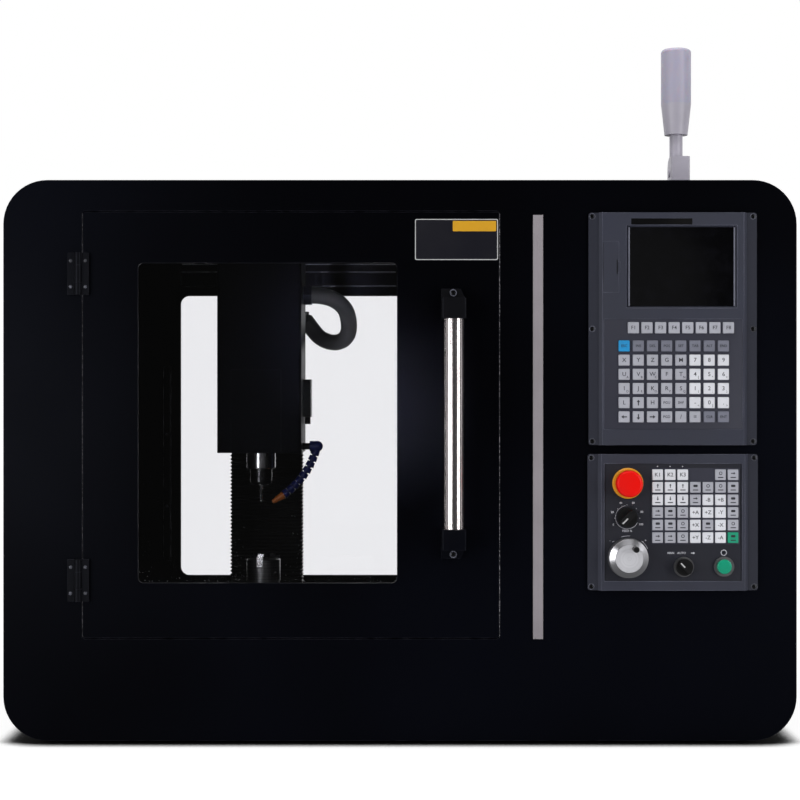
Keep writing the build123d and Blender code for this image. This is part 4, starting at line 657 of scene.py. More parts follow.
class Finish:
    """Material under construction: one Principled shader fed by the shared effects."""

    def __init__(self, name, base, roughness=0.5, metallic=0.0, **sockets):
        self.material = bpy.data.materials.new(name)
        self.material.use_nodes = True
        self.tree = self.material.node_tree
        self.shader = self.tree.nodes["Principled BSDF"]
        self.base = tuple(base)
        self.set("Base Color", (*self.base, 1.0))
        self.set("Roughness", roughness)
        self.set("Metallic", metallic)
        self.height = None
        for socket, value in sockets.items():
            self.set(socket.replace("_", " ").title().replace("Ior", "IOR"), value)

    def set(self, socket, value):
        self.shader.inputs[socket].default_value = value

    def effect(self, group, **values):
        """Places a shared effect with its own values."""
        node = self.tree.nodes.new("ShaderNodeGroup")
        node.node_tree = bpy.data.node_groups[group]
        for socket, value in values.items():
            node.inputs[socket.replace("_", " ").title()].default_value = value
        return node.outputs

    def mix(self, mask, other):
        """Turns the base colour towards another colour by a mask."""
        node = self.tree.nodes.new("ShaderNodeMix")
        node.data_type = "RGBA"
        first, second, result = node.inputs[MIX_FIRST], node.inputs[MIX_SECOND], node.outputs[MIX_RESULT]
        socket = self.shader.inputs["Base Color"]
        if socket.is_linked:
            self.tree.links.new(socket.links[0].from_socket, first)
        else:
            first.default_value = (*self.base, 1.0)
        second.default_value = (*other, 1.0)
        self.tree.links.new(mask, node.inputs[0])
        self.tree.links.new(result, socket)
        return self

    def rough(self, value):
        self.tree.links.new(value, self.shader.inputs["Roughness"])
        return self

    def bump(self, height, distance):
        """Adds a bump of a depth in metres."""
        node = self.tree.nodes.new("ShaderNodeBump")
        node.inputs["Strength"].default_value = 1.0
        node.inputs["Distance"].default_value = distance
        self.tree.links.new(height, node.inputs["Height"])
        if self.height:
            self.tree.links.new(self.height, node.inputs["Normal"])
        self.height = node.outputs["Normal"]
        self.tree.links.new(self.height, self.shader.inputs["Normal"])
        return self


def lighter(base, share):
    """Colour moved towards white by a share."""
    return tuple(value + (1 - value) * share for value in base)


def darker(base, share):
    """Colour moved towards black by a share."""
    return tuple(value * (1 - share) for value in base)


def painted(name, base, roughness=0.36, edge=0.0012, dust=0.0, residue=0.0, bare=None):
    """Sprayed sheet metal with rubbed edges, painted lighter also as edge highlights, and a painted sheen."""
    cool_white = (0.72, 0.78, 1.0, 1.0)
    finish = Finish(name, base, roughness, specular_ior_level=0.05, specular_tint=cool_white)
    spray = finish.effect("sprayed_paint", roughness=roughness, cloud=0.1)
    # Painted sheen: the base colour drifts towards a lighter blue that stands in for reflected light
    finish.mix(spray["Painted Sheen"], colours().painted_sheen).rough(spray["Roughness"])
    if dust:
        finish.mix(finish.effect("settled_dust", amount=dust)["Mask"], colours().casting)
    if residue:
        finish.mix(finish.effect("coolant_residue", amount=residue)["Mask"], colours().seam_light_and_residue)
    # Edges turn to the bare colour: rubbed paint and a painted edge highlight
    finish.mix(finish.effect("rubbed_and_lit_edge", reach=edge)["Mask"], bare or colours().bare_and_lit_edge)
    finish.bump(spray["Height"], 0.000005)
    return finish.material


def moulded(name, base, roughness=0.5, grain=1500.0, depth=0.00002, dust=0.0, edge=None, low=None,
            **sockets):
    """Moulded plastic or rubber with a fine grain; edge colours a painted edge highlight, and shade is
    painted behind the Y low.
    """
    finish = Finish(name, base, roughness, **sockets)
    grains = finish.effect("moulded_grain", roughness=roughness, spread=0.14, grain=grain)
    finish.mix(grains["Shade"], lighter(darker(base, 0.14), 0.004)).rough(grains["Roughness"])
    if dust:
        finish.mix(finish.effect("settled_dust", amount=dust)["Mask"], colours().casting)
    if edge:
        # Painted edge highlight in the edge colour, strong and little broken up
        finish.mix(finish.effect("rubbed_and_lit_edge", reach=0.0012, break_up=8.0, gain=2.4)["Mask"], edge)
    # Painted shade: darker behind low, on the sunken flanges of the bezels
    if low:
        parts = finish.tree.nodes.new("ShaderNodeSeparateXYZ")
        finish.tree.links.new(object_point(finish.tree), parts.inputs["Vector"])
        finish.mix(ramp(finish.tree, parts.outputs["Y"], low - MM, low), darker(base, 0.35))
    finish.bump(grains["Height"], depth)
    return finish.material


def metal(name, base, roughness, along, spread_width=0.16, depth=0.000006):
    """Brushed, turned or ground metal; along is the axis of the scratches."""
    finish = Finish(name, base, roughness, metallic=1.0)
    stretch = {axis: (2.0 if axis == along else 60.0) for axis in "xyz"}
    brush = finish.effect("brushed_metal", roughness=roughness, spread=spread_width, **stretch)
    finish.mix(brush["Shade"], darker(base, 0.22)).rough(brush["Roughness"])
    finish.bump(brush["Height"], depth)
    return finish.material


def turned(name, base, roughness, spot, along, shade=0.12, face=0.0):
    """Metal turned round an axis: spot is a place on the axis, along its direction.

    Within the radius of its face it is matt and pale.
    """
    finish = Finish(name, base, roughness, metallic=1.0)
    values = {f"place_{axis}": value for axis, value in zip("xyz", spot)}
    values |= {f"along_{axis}": value for axis, value in zip("xyz", along)}
    rings = finish.effect("turned_rings", roughness=roughness, spread=0.12, **values)
    finish.mix(rings["Shade"], darker(base, shade)).rough(rings["Roughness"])
    if face:
        rim_width, paleness = 0.4 * MM, 0.85
        matt = ramp(finish.tree, rings["Radius"], face, face - rim_width)
        polish = math_node(finish.tree, "MULTIPLY_ADD", matt, -paleness, 1.0)
        finish.tree.links.new(polish, finish.shader.inputs["Metallic"])
    finish.bump(rings["Height"], 0.000002)
    return finish.material


def casting(name, base, residue=0.0):
    """Painted iron casting with a coarse skin and worn corners."""
    finish = Finish(name, base, 0.48)
    grains = finish.effect("moulded_grain", roughness=0.48, spread=0.2, grain=420.0)
    finish.mix(grains["Shade"], darker(base, 0.3)).rough(grains["Roughness"])
    if residue:
        finish.mix(finish.effect("coolant_residue", amount=residue)["Mask"], colours().seam_light_and_residue)
    finish.mix(finish.effect("rubbed_and_lit_edge", reach=0.0016)["Mask"], colours().dark_steel)
    finish.bump(grains["Height"], 0.00006)
    return finish.material


def clear_pane(name):
    """Clear sheet with faint smears."""
    tint, most_blur = (0.97, 0.97, 0.985), 0.02
    finish = Finish(name, tint, 0.0, ior=1.46, transmission_weight=1.0)
    smear = noise(finish.tree, object_point(finish.tree, (1.0, 1.0, 0.35)), 22.0, 5.0, 0.6)
    finish.rough(math_node(finish.tree, "MULTIPLY", ramp(finish.tree, smear, 0.6, 0.9), most_blur))
    let_lamps_through(finish)
    return finish.material


def let_lamps_through(finish):
    """Lets lamp light and diffuse light pass straight through clear glass."""
    tree = finish.tree
    tint = (0.9, 0.9, 0.92, 1.0)
    path = tree.nodes.new("ShaderNodeLightPath")
    open_air = tree.nodes.new("ShaderNodeBsdfTransparent")
    open_air.inputs["Color"].default_value = tint
    surface = finish.shader.outputs["BSDF"]
    for ray in ("Is Shadow Ray", "Is Diffuse Ray"):
        both = tree.nodes.new("ShaderNodeMixShader")
        tree.links.new(path.outputs[ray], both.inputs["Fac"])
        tree.links.new(surface, both.inputs[1])
        tree.links.new(open_air.outputs["BSDF"], both.inputs[2])
        surface = both.outputs["Shader"]
    tree.links.new(surface, tree.nodes["Material Output"].inputs["Surface"])


def screen_glass(name):
    """Dark display behind plain glass."""
    dark, hazy = (0.0012, 0.0012, 0.0016), (0.0024, 0.0024, 0.0034)
    finish = Finish(name, dark, 0.12, specular_ior_level=0.22)
    film = noise(finish.tree, object_point(finish.tree), 60.0, 4.0)
    finish.rough(spread(finish.tree, film, 0.1, 0.06))
    finish.mix(ramp(finish.tree, film, 0.4, 0.8), hazy)
    return finish.material


def frosted(name, base):
    """Frosted lens that lets light into itself."""
    finish = Finish(name, base, 0.42, subsurface_weight=0.35, subsurface_scale=0.02)
    grains = finish.effect("moulded_grain", roughness=0.42, spread=0.1, grain=2200.0)
    finish.mix(grains["Shade"], darker(base, 0.06)).rough(grains["Roughness"])
    finish.bump(grains["Height"], 0.00001)
    return finish.material


def seam_light_finish(name, base):
    """Painted light in a door seam: pale dots with dark breaks along the seam, for light passing through the
    gap.
    """
    finish = Finish(name, darker(base, 0.9), 0.8)
    light_dots = noise(finish.tree, object_point(finish.tree), 260.0, 3.0, 0.7)
    finish.mix(ramp(finish.tree, light_dots, 0.46, 0.6), base)
    finish.bump(light_dots, 0.0002)
    return finish.material


EFFECTS = (build_paint_group, build_edge_group, build_grain_group, build_brush_group, build_ring_group,
           build_residue_group, build_dust_group)


def make_finishes():
    """Every finish by name."""
    c = colours()
    wheel = panel().wheel_middle
    chuck_axis = halfway(*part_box("chuck_body"))
    return {
        "paint": painted("enclosure_paint", c.paint, dust=0.12),
        "inner_paint": painted("inner_paint", c.paint, 0.42, residue=0.12),
        # Rear panel edges painted near white as highlights of the lit sheet edges
        "rear_paint_lit_edges": painted("rear_paint_lit_edges", c.paint, 0.42, 0.0014, residue=0.12, bare=c.key_white),
        "fitting_paint": painted("fitting_paint", c.knob, 0.3, edge=0.0008),
        "casting": casting("painted_casting", c.casting, residue=0.4),
        "head_casting": casting("dark_casting", darker(c.casting, 0.55), residue=0.3),
        "rail": metal("ground_rail", c.steel, 0.24, "z"),
        "cross_rail": metal("ground_cross_rail", c.steel, 0.24, "x"),
        "table": metal("ground_table", darker(c.steel, 0.35), 0.34, "x"),
        "turned": metal("turned_steel", c.steel, 0.22, "x"),
        "chuck": turned("turned_chuck", darker(c.steel, 0.3), 0.3, chuck_axis, (0, 0, 1), 0.3),
        "nut": metal("blackened_nut", c.dark_steel, 0.26, "x"),
        "tube": metal("polished_tube", c.tube, 0.24, "z", 0.05, 0.0000005),
        "wheel": turned("turned_wheel", c.alloy, 0.3, (wheel[0], 0, wheel[1]), (0, 1, 0),
                        face=panel().wheel_face),
        "collar": metal("chrome_collar", c.steel, 0.3, "x", 0.05, 0.0000005),
        "motor": metal("anodised_motor", darker(c.dark_steel, 0.5), 0.4, "z"),
        # Bezels: painted edge highlight, and painted shade on the screw flanges behind the raised face
        "slate": moulded("slate_moulding", c.slate, 0.46, 1300.0, 0.00003, dust=0.05, edge=c.slate_edge_highlight,
                         low=deep(-panel().flange_face), specular_ior_level=0.25),
        "field": moulded("slate_field", c.slate_dark, 0.55, 1300.0, 0.00002, specular_ior_level=0.25),
        "film": moulded("dark_film", c.film, 0.5, 1600.0, 0.00001, specular_ior_level=0.25),
        "reveal": moulded("slate_reveal", darker(c.slate_edge_highlight, 0.3), 0.5, 1300.0, 0.00002),
        # Bolts and washers take the painted edge highlight of the bezels
        "bolt": moulded("black_bolt", c.bolt, 0.4, 1800.0, 0.00001, edge=c.slate_edge_highlight),
        # Pale strips that stand in for highlights on the rear sheet edges
        "highlight_strip": moulded("pale_highlight_strip", c.key_white, 0.4, 900.0, 0.00002),
        "module": moulded("module_plastic", c.slate, 0.5),
        "rubber": moulded("rubber", c.rubber, 0.62, 900.0, 0.00005),
        "coated_fabric": moulded("coated_fabric", c.rubber, 0.44, 1100.0, 0.00008),
        "conduit": moulded("conduit_cover", c.rubber, 0.34, 500.0, 0.00004),
        "knob": moulded("knob_plastic", c.knob, 0.34, 1800.0, 0.00001, specular_ior_level=0.35),
        "stop_red": moulded("stop_red", c.stop_red, 0.34, 2000.0, 0.00001, specular_ior_level=0.15),
        "stop_yellow": moulded("stop_yellow", c.stop_yellow, 0.42),
        "button_green": moulded("button_green", c.key_green, 0.3, 2000.0, 0.00001),
        "hose": moulded("hose_blue", c.hose_blue, 0.36),
        "nozzle": moulded("nozzle_orange", c.nozzle_orange, 0.4),
        "lamp_body": moulded("lamp_body", c.lamp_body, 0.4, dust=0.04),
        "lens": frosted("lamp_lens", c.lamp_lens),
        "light_strip": moulded("light_diffuser", c.light_strip, 0.5, 700.0),
        "pane": clear_pane("clear_pane"),
        "screen": screen_glass("screen_glass"),
        "key_light": moulded("key_light", c.key_light, 0.55),
        "key_white": moulded("key_white", c.key_white, 0.55),
        "key_grey": moulded("key_grey", c.key_grey, 0.55),
        "key_blue": moulded("key_blue", c.key_blue, 0.5),
        "key_green": moulded("key_green", c.key_green, 0.5),
        "ink_dark": moulded("ink_dark", c.ink_dark, 0.6),
        "ink_pale": moulded("ink_pale", c.ink_pale, 0.6),
        "strip_black": moulded("strip_black", darker(c.knob, 0.6), 0.6, specular_ior_level=0.06),
        "plate_white": moulded("plate_white", c.plate_white, 0.5),
        "plate_dark": moulded("plate_dark", c.plate_dark, 0.4, specular_ior_level=0.2),
        "plate_yellow": moulded("plate_yellow", c.plate_yellow, 0.45),
        "seam_light_and_residue": seam_light_finish("seam_light_material", c.seam_light_and_residue),
        # Shaded copy of the painted seam light, for the hinge seam
        "seam_light_shaded": seam_light_finish("seam_light_shaded_material", darker(c.seam_light_and_residue, 0.75)),
        "chip": moulded("bright_chip", c.key_white, 0.35, 3000.0, 0.00001),
    }


NODE_FINISHES = {
    "paint": ("front_panel", "hood", "base_pan", "door_panel"),
    "inner_paint": ("cabinet_partition", "head_cover"),
    "rear_paint_lit_edges": ("rear_panel",),
    "fitting_paint": ("handle_brackets", "hinge_leaves", "hinge_posts"),
    "casting": ("bed", "saddle"),
    "head_casting": ("column", "head_casting"),
    "rail": ("guide_rails",),
    "cross_rail": ("x_rails",),
    "table": ("table",),
    "turned": ("spindle", "chuck_jaw_1", "chuck_jaw_2", "chuck_jaw_3"),
    "chuck": ("chuck_body",),
    "nut": ("collet_nut",),
    "tube": ("handle_tube",),
    "wheel": ("handwheel",),
    "collar": ("control_collars",),
    "motor": ("axis_motors", "x_motor", "spindle_motor"),
    "slate": ("screen_bezel", "operator_bezel", "usb_flap"),
    "module": ("cabinet_modules",),
    "rubber": ("rubber_feet", "window_seal"),
    "knob": ("feed_knob", "mode_knob", "finger_knob", "head_terminal_box"),
    "stop_red": ("estop_head",),
    "stop_yellow": ("estop_collar",),
    "button_green": ("start_button",),
    "hose": ("coolant_hose",),
    "nozzle": ("coolant_nozzle",),
    "lamp_body": ("lamp_foot", "lamp_stem"),
    "lens": ("lamp_lens",),
    "light_strip": ("light_strip",),
    "pane": ("door_window", "rear_window"),
    "screen": ("display",),
}
FINISH = {}


class MILL_OT_frame_finishes(bpy.types.Operator):
    """Builds the shared effects and finishes, and gives each node of the frame its finish."""
    bl_idname = "mill.frame_finishes"
    bl_label = "Finish the frame"

    def execute(self, context):
        for build in EFFECTS:
            build()
        FINISH.update(make_finishes())
        for finish, nodes in NODE_FINISHES.items():
            for node in nodes:
                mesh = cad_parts[node].data
                mesh.materials.clear()
                mesh.materials.append(FINISH[finish])
        return {"FINISHED"}


# Conduit route: X, depth and Z of its points, moved from the frame's tube to follow the photograph
CONDUIT_ROUTE = ((-0.150, 0.380, 0.694), (-0.124, 0.380, 0.694), (-0.094, 0.388, 0.676),
                 (-0.0865, 0.404, 0.648), (-0.090, 0.424, 0.625), (-0.110, 0.452, 0.614),
                 (-0.138, 0.494, 0.622), (-0.155, 0.528, 0.640), (-0.168, 0.543, 0.658))


class MILL_OT_conduit(bpy.types.Operator):
    """Conduit that loops from the spindle head to the column."""
    bl_idname = "mill.conduit"
    bl_label = "Conduit"

    def execute(self, context):
        data = bpy.data.curves.new("conduit_route", "CURVE")
        data.dimensions = "3D"
        data.resolution_u = 14
        spline = data.splines.new("NURBS")
        spline.points.add(len(CONDUIT_ROUTE) - 1)
        for point, (x, depth, z) in zip(spline.points, CONDUIT_ROUTE):
            point.co = (x, deep(depth), z, 1.0)
        spline.order_u = 3
        spline.use_endpoint_u = True
        tube = bpy.data.objects.new("conduit_tube", data)
        bpy.context.collection.objects.link(tube)
        line = bpy.data.meshes.new_from_object(tube)
        bpy.data.meshes.remove(line)
        radius = inside().conduit_radius
        data.bevel_depth = radius
        data.bevel_resolution = 6
        data.use_fill_caps = True
        activate(tube)
        bpy.ops.object.convert(target="MESH")
        tube = weld(fresh("conduit_tube"))
        finish_piece(tube, FINISH["conduit"], None, 50)
        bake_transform(tube)
        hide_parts("conduit")
        return {"FINISHED"}


class MILL_OT_pleated_cover(bpy.types.Operator):
    """Pleated cover over the column guides, with rounded folds."""
    bl_idname = "mill.pleated_cover"
    bl_label = "Pleated cover"

    def execute(self, context):
        cover = bpy.data.objects.new("pleated_cover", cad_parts["z_bellows"].data.copy())
        bpy.context.collection.objects.link(cover)
        cover.data.name = "pleated_cover"
        flat, sharp = math.radians(1), math.radians(25)
        weld(cover, outward=False)
        bpy.ops.object.mode_set(mode="EDIT")
        bpy.ops.mesh.select_all(action="SELECT")
        bpy.ops.mesh.dissolve_limited(angle_limit=flat)
        leave(cover)
        folds = cover.modifiers.new("folds", "BEVEL")
        folds.width = inside().pleat_edge
        folds.segments = 2
        folds.limit_method = "ANGLE"
        folds.angle_limit = sharp
        apply_modifiers(cover)
        finish_piece(cover, FINISH["coated_fabric"], None)
        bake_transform(cover)
        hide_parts("z_bellows")
        return {"FINISHED"}


class MILL_OT_ball_screws(bpy.types.Operator):
    """Ball screws with their rolled groove and plain journals."""
    bl_idname = "mill.ball_screws"
    bl_label = "Ball screws"

    def execute(self, context):
        for axis, node in enumerate(("x_screw", "y_screw", "z_screw")):
            self.model(node, axis)
        return {"FINISHED"}

    def model(self, node, axis):
        low, high = (Vector(corner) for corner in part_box(node))
        run = high[axis] - low[axis]
        across = (axis + 1) % 3
        radius = (high[across] - low[across]) / 2
        lead, groove, journal = inside().thread_lead, inside().thread_depth, inside().journal
        sides, thread_sides, spare_turns, journal_edge = 24, 20, 2, radius * 0.08
        groove_shares = ((0.0, 0.0), (0.22, 0.0), (0.32, 0.7), (0.5, 1.0), (0.68, 0.7), (0.78, 0.0),
                         (1.0, 0.0))
        mesh = bpy.data.meshes.new(node + "_thread")
        points = [(radius - share * groove, 0.0, step * lead) for step, share in groove_shares]
        mesh.from_pydata(points, [(i, i + 1) for i in range(len(points) - 1)], [])
        thread = bpy.data.objects.new(node + "_thread", mesh)
        bpy.context.collection.objects.link(thread)
        turns = math.ceil((run - 2 * journal) / lead) + spare_turns
        coil = thread.modifiers.new("coil", "SCREW")
        coil.steps = coil.render_steps = thread_sides
        coil.screw_offset = lead
        coil.iterations = turns
        coil.use_merge_vertices = True
        coil.merge_threshold = TOUCH
        apply_modifiers(thread)
        weld(thread)
        for height, inner, outer in ((lead, True, False), (lead + run - 2 * journal, False, True)):
            activate(thread)
            bpy.ops.object.mode_set(mode="EDIT")
            bpy.ops.mesh.select_all(action="SELECT")
            bpy.ops.mesh.bisect(plane_co=(0, 0, height), plane_no=(0, 0, 1), use_fill=True,
                                clear_inner=inner, clear_outer=outer)
            leave(thread)
        thread.location = (0, 0, journal - lead)
        settle(thread)
        ends = []
        for start in (0.0, run - journal):
            activate()
            bpy.ops.mesh.primitive_cylinder_add(vertices=sides, radius=radius - groove, depth=journal,
                                                location=(0, 0, start + journal / 2))
            end = settle(fresh(node + "_journal"))
            soften(end, lies_level, journal_edge)
            ends.append(end)
        screw = join(ends + [thread], node + "_thread")
        middle = halfway(low, high)
        middle[axis] = low[axis]
        turn = (Matrix.Rotation(math.pi / 2, 4, "Y"), Matrix.Rotation(-math.pi / 2, 4, "X"), Matrix())[axis]
        screw.matrix_world = Matrix.Translation(middle) @ turn
        settle(screw)
        weld(screw)
        finish_piece(screw, FINISH["turned"], node, 30)
        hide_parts(node)


class MILL_OT_end_mill(bpy.types.Operator):
    """End mill with four spiral flutes and a plain shank."""
    bl_idname = "mill.end_mill"
    bl_label = "End mill"

    def execute(self, context):
        low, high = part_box("end_mill")
        middle = halfway(low, high)
        radius = (high[0] - low[0]) / 2
        flute_shares = (0.0, 0.02, 0.3, 0.42, 0.3, 0.1)
        sides, layers, twist, shank_edge = 24, 24, 1.1 * math.pi, radius * 0.12
        step = inside().flute_length / layers
        activate()
        bpy.ops.mesh.primitive_circle_add(vertices=sides, radius=radius, fill_type="NGON",
                                          location=(middle[0], middle[1], low[2]))
        cutter = settle(fresh("spiral_end_mill"))
        bpy.ops.object.mode_set(mode="EDIT")
        mesh = bmesh.from_edit_mesh(cutter.data)
        for index, vertex in enumerate(mesh.verts):
            arm = vertex.co - Vector((middle[0], middle[1], low[2]))
            vertex.co -= arm * flute_shares[index % len(flute_shares)]
        bmesh.update_edit_mesh(cutter.data)
        bpy.ops.mesh.select_all(action="SELECT")
        for layer in range(layers):
            bpy.ops.mesh.extrude_region_move(TRANSFORM_OT_translate={"value": (0, 0, step)})
            bpy.ops.transform.rotate(value=twist / layers, orient_axis="Z",
                                     center_override=(middle[0], middle[1], low[2]))
        leave(cutter)
        activate()
        shank_low = low[2] + inside().flute_length - step
        bpy.ops.mesh.primitive_cylinder_add(vertices=sides, radius=radius, depth=high[2] - shank_low,
                                            location=(middle[0], middle[1], (high[2] + shank_low) / 2))
        shank = settle(fresh("shank"))
        soften(shank, lies_level, shank_edge)
        cutter = weld(join([shank, cutter], "spiral_end_mill"))
        finish_piece(cutter, FINISH["turned"], "spindle")
        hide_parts("end_mill")
        return {"FINISHED"}


# Keys

MAIN_ROWS, MAIN_COLUMNS = 6, 8


def model_key(side, back, front):
    """Moulded key with tapered sides, round corners and a shallow dish."""
    edge_share, dish_share = 0.5, 0.86
    key = add_block("key_model", (-side / 2, front, -side / 2), (side / 2, back, side / 2))
    soften(key, edge_runs(1), panel().key_corner)
    share = 1 - 2 * panel().key_taper / side
    pick(key, "FACE", faces_front)
    bpy.ops.transform.resize(value=(share, 1, share), center_override=(0, front, 0))
    leave(key)
    soften(key, rim_at(front), panel().key_corner * edge_share)
    return dish_front(key, dish_share, front, panel().key_dish)


def key_sheet(node, name):
    """Sheet that carries the keys of a node; gives the Y of its front and of the key tops."""
    low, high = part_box(node)
    front = high[1] - panel().sheet
    corner, edge = 2 * MM, 0.2 * MM
    sheet = add_block(name, (low[0], front, low[2]), high)
    soften(sheet, edge_runs(1), corner, 3)
    soften(sheet, rim_at(front), edge)
    finish_piece(sheet, FINISH["field"], "enclosure")
    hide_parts(node)
    return front, low[1]


def key_caps(name, finish, side, levels, middles):
    """Keys of one finish: one is modelled between two levels and copied to each middle."""
    caps = copy_to(model_key(side, *levels), [Vector((x, 0, z)) for x, z in middles], name)
    finish_piece(caps, FINISH[finish], "enclosure")


def main_key_middle(row, column):
    (x, z), pitch = panel().main_middle, panel().main_pitch
    return x + (column - (MAIN_COLUMNS - 1) / 2) * pitch, z + ((MAIN_ROWS - 1) / 2 - row) * pitch


def function_key_middle(column):
    x, z = panel().function_middle
    return x + (column - (MAIN_COLUMNS - 1) / 2) * panel().function_pitch, z


def operator_key_middle(row, column):
    x, z = panel().operator_first
    return x + column * panel().operator_pitch, z - row * panel().operator_pitch


ARROW_TURNS = {"up": 0.0, "right": math.pi / 2, "down": math.pi, "left": -math.pi / 2}


def model_arrow(size, direction):
    """Flat arrow that faces the front and points up, down, left or right."""
    ink, shaft, neck, tip = panel().ink, size * 0.1, size * 0.1, size * 0.4
    head_share, tip_share = 3.2, 0.05
    arrow = add_block("arrow", (-shaft, -ink, -size * 0.5), (shaft, 0, neck))
    pick(arrow, "FACE", lambda face: face.normal.z > ALONG)
    bpy.ops.mesh.extrude_region_move()
    bpy.ops.transform.resize(value=(head_share, 1, 1), center_override=(0, 0, 0))
    bpy.ops.mesh.extrude_region_move(TRANSFORM_OT_translate={"value": (0, 0, tip)})
    bpy.ops.transform.resize(value=(tip_share, 1, 1), center_override=(0, 0, 0))
    leave(arrow)
    arrow.rotation_euler = (0, ARROW_TURNS[direction], 0)
    return weld(settle(arrow), FINE_TOUCH)


def model_bar(width, height):
    """Flat bar with round ends that stands for a short legend."""
    bar = add_block("bar", (-width / 2, -panel().ink, -height / 2), (width / 2, 0, height / 2))
    return soften(bar, edge_runs(1), height * 0.3)


def model_ring(outer, inner, sides=20, thick=0.0):
    """Flat ring that faces the front, as thick as ink or as given."""
    ring = add_drum("ring", outer, (-(thick or panel().ink), 0), sides=sides)
    pick(ring, "FACE", lambda face: abs(face.normal.y) > ALONG)
    bpy.ops.mesh.inset(thickness=outer - inner)
    bpy.ops.mesh.bridge_edge_loops()
    return leave(ring)


def moved(piece, x, y, z):
    """Moves a flat mark to its place."""
    piece.location = (x, y, z)
    return settle(piece)


MAIN_LEGENDS = ("ESC INS DEL POS SET TAB ALT END", "X Y Z G M 7 8 9", "U V W F T 4 5 6", "I J K R S 1 2 3",
                "L up H PGU SHF - 0 .", "left down right PGD / = CLR ENT")
MAIN_CORNERS = {2: "ABC N[*+", 3: "DEOPQ(;)", 4: "     <]>"}
MAIN_GREY = {(0, column) for column in range(1, 8)} | {(5, 6), (5, 7)}
MAIN_WHITE = {(row, column) for row in range(1, 5) for column in (5, 6, 7)}


class MILL_OT_main_keys(bpy.types.Operator):
    """Keys of the main panel with the sheet that carries them and their legends."""
    bl_idname = "mill.main_keys"
    bl_label = "Main keys"

    def execute(self, context):
        levels = key_sheet("main_keys", "main_key_sheet")
        every = {(row, column) for row in range(MAIN_ROWS) for column in range(MAIN_COLUMNS)}
        groups = {"key_blue": {(0, 0)}, "key_grey": MAIN_GREY, "key_white": MAIN_WHITE}
        groups["key_light"] = every - set().union(*groups.values())
        for finish, keys in groups.items():
            middles = [main_key_middle(*key) for key in sorted(keys)]
            key_caps("main_" + finish, finish, panel().main_key, levels, middles)
        middles = [function_key_middle(column) for column in range(MAIN_COLUMNS)]
        key_caps("function_keys", "key_light", panel().function_key, levels, middles)
        self.legends(levels[1] + panel().key_dish)
        return {"FINISHED"}

    def legends(self, y):
        side, bold = panel().main_key, panel().bold
        one, several, function, corner, arrow = (side * share for share in (0.52, 0.32, 0.46, 0.28, 0.5))
        right, drop = side * 0.29, side * 0.26
        marks = []
        for row, line in enumerate(MAIN_LEGENDS):
            for column, sign in enumerate(line.split()):
                x, z = main_key_middle(row, column)
                if sign in ARROW_TURNS:
                    marks.append(moved(model_arrow(arrow, sign), x, y, z))
                else:
                    size = one if len(sign) == 1 else several
                    marks.append(write(sign, size, (x, z), y, "legend", bold))
        for row, line in MAIN_CORNERS.items():
            for column, sign in enumerate(line):
                if sign != " ":
                    x, z = main_key_middle(row, column)
                    marks.append(write(sign, corner, (x + right, z - drop), y, "legend", bold / 2))
        for column in range(MAIN_COLUMNS):
            spot = function_key_middle(column)
            marks.append(write(f"F{column + 1}", function, spot, y, "legend", bold))
        legends = weld(join(marks, "main_legends"), FINE_TOUCH)
        finish_piece(legends, FINISH["ink_dark"], "enclosure")


# Operator legends: o is a ring, # a bar, a, u and d are arrows, and None is a place without a key
OPERATOR_LEGENDS = (("K1", "K2", "K3", None, None, "o", "a"), ("u", "u", "u", "#", "o", "o", "#"),
                    ("d", "d", "d", "a", "-B", "+B", "#"), ("a", "#", "o", "+A", "+Z", "-Y", "#"),
                    ("#", "#", "o", "+X", "#", "-X", "o"), ("a", "a", "o", "+Y", "-Z", "-A", "#"))
OPERATOR_WHITE = {(row, column) for row in range(3) for column in range(3)} | {
    (2, 4), (2, 5), (3, 3), (3, 4), (3, 5), (4, 3), (4, 5), (5, 3), (5, 4), (5, 5)}
OPERATOR_ARROWS = {"a": (0.4, "right"), "u": (0.36, "up"), "d": (0.36, "down")}


